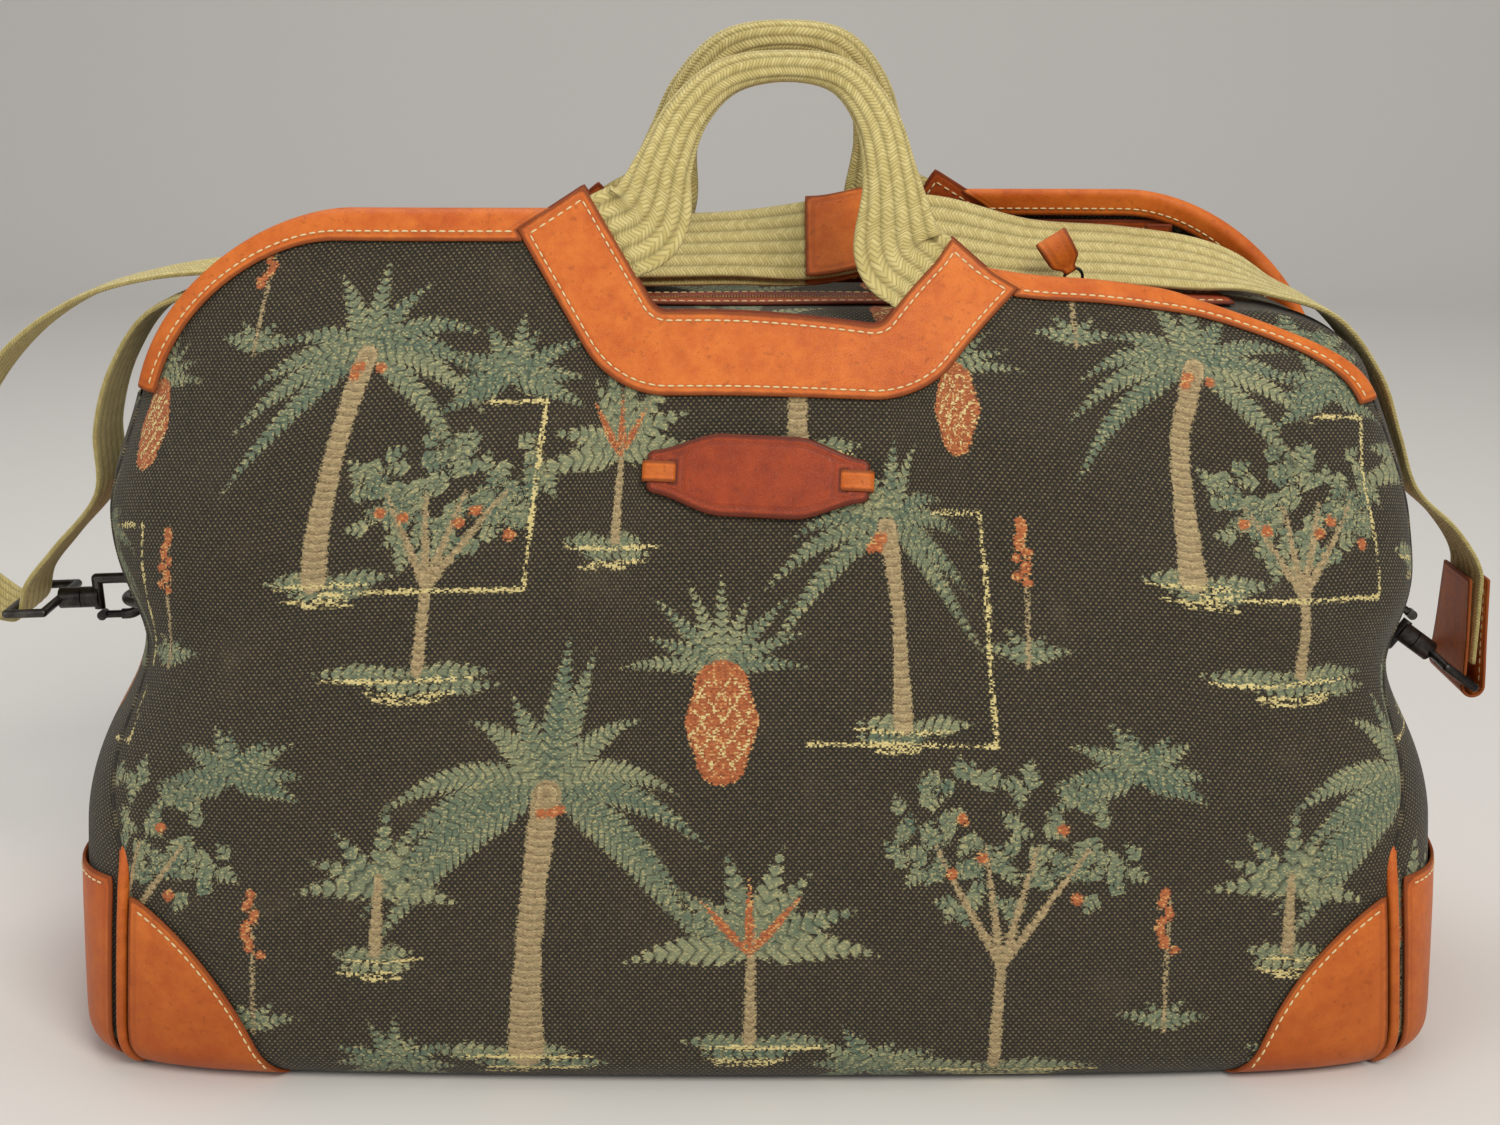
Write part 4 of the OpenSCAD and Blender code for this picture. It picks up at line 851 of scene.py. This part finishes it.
def web_piece(name, mids, ways, sizes, nodes, power=0.7):
    """Ribbed webbing along a line; ways says where its width lies and sizes gives each ring's half sizes."""
    t = unit(np.gradient(mids, axis=0))
    a = unit(ways - (ways * t).sum(-1, keepdims=True) * t)
    b = np.cross(t, a)
    points, ribs, uv = [], [], []
    run = run_of(mids)
    for k in range(len(mids)):
        ring, high, at = web_ring(*sizes[k], power)
        points.append(mids[k] + ring[:, :1] * a[k] + ring[:, 1:] * b[k])
        ribs.append(high)
        uv.append(np.stack([np.full(len(at), run[k]), at], -1))
    faces = sweep_faces(len(points), len(points[0]))
    piece = add_piece(name, np.concatenate(points), faces, webbing, nodes, uv=np.concatenate(uv),
                      values={"rib": np.concatenate(ribs)})
    return piece


arm_way, arm_side = np.array([math.cos(ARM), math.sin(ARM)]), np.array([-math.sin(ARM), math.cos(ARM)])
tip = np.array([BAND_KNEE, BAND_MID]) + ARM_LEN * arm_way
root_x, root_z = tip + (BAND_W / 2 + 1) * arm_side - (WEB_W / 2 + 2) * arm_way
root_y = float(half_depth(root_z) - 1.2)
for side, far, arch in ((-1, "front", 373.0), (1, "back", 384.0)):
    rise = arch - root_z
    # each row: place from the middle, depth, height, then the half sizes of the section
    half = np.array([[root_x + 10 * math.sin(ARM), root_y + 1.6, root_z - 10 * math.cos(ARM), 19, 1.3],
                     [root_x, root_y, root_z, 19, 1.3],
                     [root_x - 12 * math.sin(ARM), root_y - 3, root_z + 12 * math.cos(ARM), 17.5, 2.0],
                     [root_x - 15, root_y - 10, root_z + 0.42 * rise, 11, 5],
                     [root_x - 22, root_y - 19, root_z + 0.72 * rise, 8.5, 6.5],
                     [root_x - 36, root_y - 27, root_z + 0.94 * rise, 7, 8],
                     [0, root_y - 31, arch, 6, 8.5]])
    line = curve(np.concatenate([half, half[-2::-1] * np.array([-1, 1, 1, 1, 1])]), 14)
    go = np.linspace(0, 1, len(line))
    mids = grid(HANDLE_X + line[:, 0] + 7 * np.sin(math.pi * go) ** 2, side * line[:, 1], line[:, 2])
    # the roots sink with the cloth, and the arch leans after them
    drop = mids[[14, -15]] - settle(*mids[[14, -15]].T)
    sunk = (1 - smooth01(np.minimum(go, 1 - go) / 0.46))[:, None]
    mids = mids - np.where(go[:, None] < 0.5, drop[0], drop[1]) * sunk
    t = unit(np.gradient(mids, axis=0))
    ways = unit(np.cross(np.broadcast_to([0.0, 1.0, 0.0], t.shape), t))
    # near the roots the webbing lies flat on the panel
    count = np.arange(len(line))
    near = 1 - smooth01((np.minimum(count, count[::-1]) - 15) / 20)[:, None]
    flat = unit(np.gradient(line[:, [0, 2]], axis=0)) * WEB_W / 2
    low, high = (face_pt(side, HANDLE_X + line[:, 0] + k * flat[:, 1], line[:, 2] - k * flat[:, 0], -1.5)
                 for k in (-1, 1))
    ways, mids = mix(ways, unit(high - low), near), mix(mids, (low + high) / 2, near)
    web_piece(f"{far}_handle_webbing", mids, ways, line[:, 3:], [f"{far}_handle"])

# Zipped top: two strips of tapestry close the top below the panel edges. Between them lies a brass zip on
# leather tapes with a red-brown end piece at each side; its slider carries a folded leather pull.
TROUGH, TAPE_Z, TAPE_END, ZIP_END = 281.0, 282.7, 142.0, 190.0
TOOTH, TOOTH_CAP, PITCH, PAIRS, TOOTH_Z = (0.84, 2.8, 1.1), 0.35, 1.2, 118, 281.5
for side, name in ((-1, "front_top_gusset"), (1, "back_top_gusset")):
    bottom = SEAM_TOP + 0.3
    turn = np.radians(np.linspace(90, 3, 20))
    q = np.concatenate([-np.sin(turn) - 1, np.linspace(-1, 1, 130), 1 + np.sin(turn[::-1])])
    bend = np.clip(np.abs(q) - 1, 0, 1)
    drop = np.sqrt(np.maximum(0, 1 - bend * bend))
    c = np.linspace(0, 1, 26)[:, None]
    end_y = mix(0.15, seam(bottom, -CLOTH_T)[1] - 0.3, c)
    end_x = half_width(bottom) * bulge(end_y, half_depth(bottom), plan_n(bottom))
    x = np.where(bend > 0, np.sign(q) * mix(ZIP_END, end_x, bend), q * ZIP_END)
    z = mix(bottom, TROUGH, drop)[None, :] + 0 * c
    y_in = mix(14.0, 0.15, np.clip((np.abs(x) - TAPE_END) / 14, 0, 1))
    wall = half_depth(z) * bulge(x, half_width(z), plan_n(z))
    y = mix(y_in, wall - mix(5.9, 0.6, smooth01(bend / 0.6)), c)
    sag = 1.2 * np.sin(np.pi * c) * (1 + 0.4 * ripple(x, 40 * c, 14))
    p = settle(x, side * y, z - sag)[::side]
    cloth = tapestry_piece(name + "_cloth", p, (80.0, 120.0), [name])
zip_hide = hide_finish("zip leather", (176, 78, 40), (128, 50, 24), 0.42)
for side, far in FACES:
    x, y = np.linspace(-TAPE_END, TAPE_END, 140)[None], (side * np.linspace(2.6, 15, 12))[::side, None]
    p = grid(x, y, TAPE_Z + 0.25 * np.sin(x / 17 + side) * (np.abs(y) / 15))
    hide_piece(f"{far}_zip_leather", p, zip_hide, [f"{far}_zip_tape"], 1.3)
    stitching(f"{far}_zip_stitches", [inset_row(p, 8.8 if side > 0 else 2.2, np.linspace(2, 137, 136))])
for end, hand in ENDS:
    x, y = np.sort(end * np.linspace(143.2, 187.8, 24))[None], np.linspace(-14.6, 14.6, 20)[:, None]
    p = grid(x, y, TAPE_Z + 0.3 * np.cos(y / 9))
    hide_piece(f"{hand}_zip_end_leather", p, zip_hide, [f"{hand}_zip_end"], 1.3)
    stitching(f"{hand}_zip_end_stitches", [inset_row(p, r, np.linspace(1.5, 21.5, 20)) for r in (2.0, 17.0)])


def metal_finish(name, light, dark, rough, metallic):
    finish, w = new_finish(name)
    wear, haze = w.noise(260.0, 5.0, 0.7), w.noise(60.0, 2.0)
    colour = (0.5 * wear + 0.5 * haze).step(0.35, 0.7).blend(paint(*dark), paint(*light))
    w.surface(Base_Color=colour, Metallic=metallic, Roughness=rough + 0.25 * wear,
              Normal=w.bump(0.12, 0.0003, wear))
    return finish


def new_object(name, finish=None):
    """Names the new object, lays its moves down in its mesh and gives it its finish."""
    piece = bpy.context.object
    bpy.ops.object.transform_apply(location=True, rotation=True, scale=True)
    piece.name = piece.data.name = name
    if finish:
        piece.data.materials.append(finish)
    return piece


def pick(piece, kind, test):
    """Goes into edit mode with the faces or edges selected whose corners all pass the test."""
    bpy.ops.object.mode_set(mode="EDIT")
    bpy.ops.mesh.select_mode(type=kind)
    bpy.ops.mesh.select_all(action="DESELECT")
    bpy.ops.object.mode_set(mode="OBJECT")
    mesh = piece.data
    for part in mesh.edges if kind == "EDGE" else mesh.polygons:
        part.select = all(test(mesh.vertices[v].co) for v in part.vertices)
    bpy.ops.object.mode_set(mode="EDIT")


brass = metal_finish("zip brass", (206, 170, 96), (150, 112, 54), 0.2, 0.9)
halves = []
for lean in (-1, 1):
    bpy.ops.object.select_all(action="DESELECT")
    start = np.array([PITCH * (0.5 - PAIRS + (lean > 0)), -0.3 * lean, TOOTH_Z + TOOTH[2] / 2])
    bpy.ops.mesh.primitive_cube_add(size=0.001, location=start * 0.001)
    bpy.context.object.scale = TOOTH
    half = new_object("zip_brass_teeth", brass)
    pick(half, "FACE", lambda spot: spot.z > 0.001 * TOOTH_Z + 0.0005)
    bpy.ops.mesh.extrude_region_move(TRANSFORM_OT_translate={"value": (0, 0, 0.001 * TOOTH_CAP)})
    bpy.ops.transform.resize(value=(0.28 / 0.42, 1.1 / 1.4, 1))
    bpy.ops.object.mode_set(mode="OBJECT")
    row = half.modifiers.new("row", "ARRAY")
    row.use_relative_offset, row.use_constant_offset, row.count = False, True, PAIRS
    row.constant_offset_displace = (0.002 * PITCH, 0, 0)
    bpy.ops.object.modifier_apply(modifier="row")
    halves.append(half)
halves[0].select_set(True)
bpy.ops.object.join()
teeth = new_object("zip_brass_teeth")
dress(teeth, "bag", ["zip_teeth"])
gunmetal = metal_finish("gunmetal plate", (92, 88, 84), (40, 38, 37), 0.22, 0.85)
BRIDGE, SLIDER_X, PULL_TILT = 288.4, 128.0, math.radians(-32)
along = np.array([math.sin(PULL_TILT), 0.0, math.cos(PULL_TILT)])
flat = np.array([math.cos(PULL_TILT), 0.0, -math.sin(PULL_TILT)])
pivot = np.array([SLIDER_X, 0.0, BRIDGE])
bpy.ops.object.select_all(action="DESELECT")
bpy.ops.mesh.primitive_torus_add(location=(pivot + 2.6 * along) * 0.001, rotation=(math.pi / 2, 0, 0),
                                 major_radius=0.0036, minor_radius=0.00065, major_segments=40,
                                 minor_segments=12)
link = new_object("pull_link", gunmetal)
bpy.ops.object.shade_smooth()
dress(link, "zip_puller")
rise = [(0.0, 4.5), (1.5, 5.4), (2.2, 8.0), (3.8, 11.6), (4.6, 15.6), (3.6, 19.6), (0.0, 21.6)]
loop_line = curve(rise + [(-y, u) for y, u in rise[-2:0:-1]] + [(-0.05, 4.5)], 6)
half = np.interp(loop_line[:, 1], [4.5, 7.0, 10.0, 22.0], [1.9, 2.4, 5.6, 6.2])
q = np.linspace(-1, 1, 14)[:, None] * half[None]
p = pivot + q[..., None] * flat + loop_line[None, :, 1:] * along
p = p + loop_line[None, :, :1] * np.array([0.0, 1.0, 0.0])
hide_piece("pull_leather", p, tan_hide, ["zip_puller"], 1.1, body="zip_puller")

# Ring tabs, rings and snap hooks: a leather tab is folded round the pin of a dark plated D-ring and sewn to
# each end. A swivel snap hook with a sprung gate clips to each ring; its rectangular loop takes the strap.
PIN_X, TAB_R = 249.2, 3.6
for end, hand in ENDS:
    z = np.linspace(206, 168, 22)
    a = np.radians(np.linspace(40, -120, 26))
    path = np.concatenate([np.stack([half_width(z) + LAY + 2 * HIDE_T, z], -1),
                           np.stack([PIN_X + TAB_R * np.cos(a), RING_Z + TAB_R * np.sin(a)], -1)])
    path = curve(path[::3], 5)[::-1]
    p = grid(end * path[:, :1], end * np.linspace(-11, 11, 16)[None], path[:, 1:])
    hide_piece(f"{hand}_ring_tab_leather", p, tan_hide, [f"{hand}_ring_tab"])
    rows = p.shape[0]
    up = np.linspace(rows * 0.6, rows - 3, 14)
    stitching(f"{hand}_ring_tab_stitches", [inset_row(p, up, 1.8), inset_row(p, up, 13.2),
                                            inset_row(p, rows - 4.0, np.linspace(1.8, 13.2, 8))])
    for node in ("ring", "hook", "hook_gate", "hook_loop"):
        coat_node(f"{hand}_{node}", gunmetal)
coat_node("strap_adjuster", gunmetal)
coat_node("zip_slider", gunmetal)

# Shoulder strap: one length of the same webbing. From the adjuster it runs out over the left end, round the
# left hook's bar and back, then through the adjuster and over the right shoulder to a stitched leather end.
LEAN = (0, 0.62, 0.785)
RUN_Y, RUN_Z, END_L, ADJUSTER_X = 21.3, 305.0, -240.0, 58.0
BAR = 14 + 1.2 + 11 + 12 + 4 + 15
DIP_L, DIP_R = math.radians(2), math.radians(36)
left_bar = np.array([-PIN_X - BAR * math.cos(DIP_L), 0, RING_Z - BAR * math.sin(DIP_L)])
right_bar = np.array([PIN_X + BAR * math.cos(DIP_R), 0, RING_Z - BAR * math.sin(DIP_R)])
under = 1.8 + WEB_T / 2 + 0.5
SEWN = (RUN_Y - 3.7, RUN_Z + 2.9)
LOW, LOW_LEAN, FLAT, DROOP = (24.8, 296.8), (0, 0.8, 0.6), (0, 1, 0), 4.5
UPPER = (LOW[0] - 2.8, LOW[1] + 3.7)
MORE_LEAN, LESS_LEAN, LEAST_LEAN = (0, 0.78, 0.62), (0, 0.84, 0.54), (0, 0.95, 0.3)
strap_points = [
    # the sewn end, from the adjuster out over the left end
    ((46, *SEWN), LEAN), ((22, SEWN[0], SEWN[1] - DROOP), LEAN),
    ((-10, UPPER[0] - 1, UPPER[1] + 1), MORE_LEAN), ((-50, *UPPER), LOW_LEAN), ((-110, *UPPER), LOW_LEAN),
    ((-152, 21.5, 300.5), LESS_LEAN), ((-176.7, 15, 297), LEAST_LEAN),
    ((END_L + 34, 5, 295.5), (0, 1, 0.08)), ((END_L, 0, 292), FLAT), ((END_L - 30, 0, 283), FLAT),
    ((END_L - 58, 0, 264), FLAT), ((END_L - 80, 0, 235), FLAT),
    ((END_L - 88, 0, 201), FLAT),
    # round the left hook's bar
    (left_bar + (-26, 0, 18), FLAT), (left_bar + (-11, 0, 1), FLAT), (left_bar + (-1, 0, -under), FLAT),
    (left_bar + (0.85 * under + 0.6, 0, -1.4), FLAT), (left_bar + (7.5, 0, 11), FLAT),
    (left_bar + (20, 0, 26), FLAT),
    # back over the left end and through the adjuster
    ((END_L - 27, 0, 205), FLAT), ((END_L - 25, 0, 232), FLAT), ((END_L - 16, 0, 258), FLAT),
    ((END_L + 2, 0, 280), FLAT), ((END_L + 34, 3.5, 288.5), (0, 1, 0.05)), ((-176.7, 16, 291.8), LEAST_LEAN),
    ((-152, 24, 296.6), LESS_LEAN), ((-110, *LOW), LOW_LEAN), ((-50, *LOW), LOW_LEAN),
    ((-10, LOW[0] - 1, LOW[1] + 1), MORE_LEAN), ((22, RUN_Y, RUN_Z - DROOP), LEAN),
    ((46, RUN_Y, RUN_Z), LEAN), ((74, RUN_Y, RUN_Z), LEAN),
    # over the right shoulder, close to the cloth, to the leather end
    ((112, 24, 298.5), LOW_LEAN), ((150, 23, 296.5), LESS_LEAN), ((182, 16, 293), (0, 0.9, 0.44)),
    ((206, 7, 286), (0, 0.99, 0.14)), ((230, 1, 275.5), FLAT), ((248, 0, 253), FLAT), ((257, 0, 230), FLAT),
    ((266, 0, 207), FLAT), (right_bar + (-12, 0, 66), FLAT), (right_bar + (-1, 0, 50), FLAT),
    (right_bar + (0.3, 0, 36), FLAT), (right_bar + (0.3, 0, 9), FLAT)]
mids, ways = (curve([point[k] for point in strap_points], 9) for k in (0, 1))
sizes = np.tile([WEB_W / 2, WEB_T / 2], (len(mids), 1))
web_piece("strap_webbing", mids, ways, sizes, ["shoulder_strap", "strap_return"],
          power=0.5)


def at_adjuster(x, across, deep):
    """A place at the adjuster: along the strap, across it and below it, turned with the strap's lean."""
    turn = math.atan2(LEAN[2], LEAN[1])
    droop = DROOP * smooth01((-x - 6) / 30)
    return grid(ADJUSTER_X + x, RUN_Y + across * math.cos(turn) + deep * math.sin(turn),
                RUN_Z - droop + across * math.sin(turn) - deep * math.cos(turn))


a = np.radians(np.linspace(100, -100, 20))
path = curve(np.concatenate([[[-38.0, -2.0], [-26.0, -1.9], [-12.0, -2.0], [-4.0, -2.1]],
                             np.stack([3.2 * np.cos(a), -4.6 + 3.0 * np.sin(a)], -1),
                             [[-4.0, -7.2], [-12.0, -7.2], [-26.0, -7.2], [-38.0, -7.1]]]), 4)
p = at_adjuster(path[None, :, 0], np.linspace(-18.4, 18.4, 22)[:, None], path[None, :, 1])
hide_piece("adjuster_tab_leather", p, tan_hide, ["adjuster_tab"], 1.2)
cols = p.shape[1]
run = np.linspace(cols * 0.8, cols - 3, 30)
stitching("adjuster_tab_stitches", [inset_row(p, 1.6, run), inset_row(p, 19.4, run),
                                    inset_row(p, np.linspace(1.6, 19.4, 20), cols - 3.0)])
a = np.radians(np.linspace(180, 360, 22))
path = curve(np.concatenate([[[-2.8, 44.0], [-2.8, 32.0], [-2.8, 20.0], [-3.1, 8.0]],
                             np.stack([TAB_R * np.cos(a), TAB_R * np.sin(a)], -1),
                             [[3.3, 8.0], [3.1, 20.0], [3.1, 32.0], [3.1, 44.0]]]), 4)
y = np.linspace(-1, 1, 24)[:, None] * np.interp(path[:, 1], [-4, 6, 44], [20.0, 20.0, 15.5])[None]
p = grid(right_bar[0] + 0.15 + path[None, :, 0], y, right_bar[2] + path[None, :, 1])
hide_piece("right_strap_end_leather", p, tan_hide, ["right_strap_tab"])
cols, rows = p.shape[1], np.linspace(2, 21, 20)
runs_along = (np.linspace(1.5, cols * 0.32, 30), np.linspace(cols * 0.68, cols - 2.5, 30))
stitching("right_strap_end_stitches", [inset_row(p, r, run) for run in runs_along for r in (1.9, 21.1)]
          + [inset_row(p, rows, c) for c in (1.6, cols - 2.6, cols * 0.3, cols * 0.7)])

# Name tag: a bare lozenge of thick, polished leather with rounded corners. Two little leather loops come out
# of the cloth, through a slot at each end of the tag, and hold it.
tag_hide = hide_finish("polished tag leather", (168, 64, 12), (134, 44, 6), 0.34, 0.15)
TAG_Z, TAG_TURN, TAG_HALF, TAG_T = 228.0, math.radians(-2.6), 40, 2.0
TAG_SLOPE = float(half_depth(TAG_Z - 8) - half_depth(TAG_Z + 8)) / 16
TAG_AWAY = -np.array([0.0, 1.0, -TAG_SLOPE]) / math.hypot(1, TAG_SLOPE)
TAG_Y = -float(half_depth(TAG_Z)) - 0.7 - float(slack(-1, np.array(0.0), np.array(TAG_Z))) - 0.8


def on_front(fx, fz, out):
    """A place on the flat in front of the cloth that the tag lies in, and so far out from it."""
    at = face_pt(-1, fx * math.cos(TAG_TURN) - fz * math.sin(TAG_TURN),
                 TAG_Z + fx * math.sin(TAG_TURN) + fz * math.cos(TAG_TURN))
    at[..., 1] = TAG_Y + (at[..., 2] - TAG_Z) * TAG_SLOPE
    return at + TAG_AWAY * np.asarray(out)[..., None]


x = np.linspace(-TAG_HALF, TAG_HALF, 90)
h = 6.6 + 6.9 * smooth01((TAG_HALF - np.abs(x)) / 27) - 1.2 * np.clip((np.abs(x) - 38.2) / 1.8, 0, 1) ** 2
fx, fz = np.broadcast_arrays(x[None], np.linspace(-1, 1, 30)[:, None] * h[None])
points, faces, edge = hide_mesh(on_front(fx, fz, TAG_T), TAG_T)
rim = len(points) - 2 * fx.size
local_x = np.concatenate([fx.ravel(), np.zeros(rim), fx.ravel()])
local_z = np.concatenate([fz.ravel(), np.full(rim, 99.0), fz.ravel()])
# the slots are not cut through: the edge value is set low over each slot, so the finish paints it dark as
# painted shade
slot_shade_gap = np.maximum(np.abs(np.abs(local_x) - 31.4) - 1.5, np.abs(local_z) - 4.0)
add_piece("tag_leather", points, faces, tag_hide, ["name_tag"],
          values={"edge": np.clip(np.minimum(edge, slot_shade_gap + 0.2), 0, 50)})
path = curve([[29.6, 0.6], [30.6, 2.3], [31.6, 2.9], [34.0, 3.1], [38.0, 3.1], [41.0, 2.8], [42.4, 1.6],
              [42.8, 0.2]], 5)
for end, hand in ENDS:
    fx, fz = np.broadcast_arrays(end * path[None, :, 0], np.linspace(-3.3, 3.3, 8)[:, None])
    p = on_front(fx, fz, path[None, :, 1])[:, ::end]
    hide_piece(f"{hand}_tag_loop_leather", p, tan_hide, [f"{hand}_tag_loop"], 0.9)

# Inner keeper: a small tab of the facing's leather on the inside of the back facing, where the open zip's
# end is tucked away. It is one flat piece that follows the facing.
x, z = np.linspace(163, 173, 14)[None], np.linspace(307, 291, 18)[:, None]
hide_piece("keeper_leather", face_pt(1, x + 0 * z, z + 0 * x, -5.0), shaded_tan_hide, ["inner_keeper"])

# Studio: a plain pale floor that turns up into a backdrop, soft lamps from the front right, the left and
# above, and a camera at the height and slope of the photograph.
FLOOR_W, FLOOR_FRONT, FLOOR_BACK, FLOOR_Z, FLOOR_R, WALL = 6.4, -2.6, 2.7, -0.0004, 0.7, 4.2
paper, w = new_finish("pale paper")
w.surface(Base_Color=paint(226, 222, 216), Roughness=0.9, Specular_IOR_Level=0.1)
bpy.ops.object.select_all(action="DESELECT")
bpy.ops.mesh.primitive_plane_add(size=1.0, location=(0.0, (FLOOR_FRONT + FLOOR_BACK) / 2, FLOOR_Z))
bpy.context.object.scale = (FLOOR_W, FLOOR_BACK - FLOOR_FRONT, 1.0)
floor = new_object("floor", paper)
pick(floor, "EDGE", lambda spot: spot.y > FLOOR_BACK - 0.01)
bpy.ops.mesh.extrude_region_move(TRANSFORM_OT_translate={"value": (0, 0, WALL)})
pick(floor, "EDGE", lambda spot: spot.y > FLOOR_BACK - 0.01 and spot.z < 0.01)
bpy.ops.mesh.bevel(offset=FLOOR_R, segments=15, affect="EDGES")
bpy.ops.object.mode_set(mode="OBJECT")
bpy.ops.object.shade_smooth()
world = bpy.data.worlds.new("studio air")
world.use_nodes = True
world.node_tree.nodes["Background"].inputs["Color"].default_value = (0.93, 0.95, 1.0, 1.0)
world.node_tree.nodes["Background"].inputs["Strength"].default_value = 0.36
bpy.context.scene.world = world
for name, place, aim, size, watts, tint in (
        ("key", (0.75, -1.5, 1.55), (0.05, 0.0, 0.18), 0.9, 27.0, (1.0, 0.965, 0.9)),
        ("fill", (-1.5, -1.2, 0.9), (0.0, 0.0, 0.15), 1.3, 8.0, (1.0, 0.98, 0.95)),
        ("top", (-0.2, 0.5, 1.9), (0.0, 0.1, 0.2), 1.2, 12.0, (1.0, 1.0, 1.0))):
    lamp = bpy.data.lights.new(name, "AREA")
    lamp.shape, lamp.size, lamp.energy, lamp.color = "SQUARE", size, watts, tint
    holder = bpy.data.objects.new(name, lamp)
    holder.location = place
    to = np.array(aim) - np.array(place)
    down = math.acos(-to[2] / np.linalg.norm(to))
    holder.rotation_euler = (down, 0.0, math.atan2(to[1], to[0]) - math.pi / 2)
    bpy.context.collection.objects.link(holder)
camera = bpy.data.objects.new("camera", bpy.data.cameras.new("camera"))
camera.data.sensor_width, camera.data.lens = 36.0, 48.0
camera.location = (-0.003, -0.803, 0.393)
camera.rotation_euler = (math.radians(74.6), 0.0, 0.0)
bpy.context.collection.objects.link(camera)
bpy.context.scene.camera = camera
bpy.context.scene.view_settings.view_transform = "Standard"
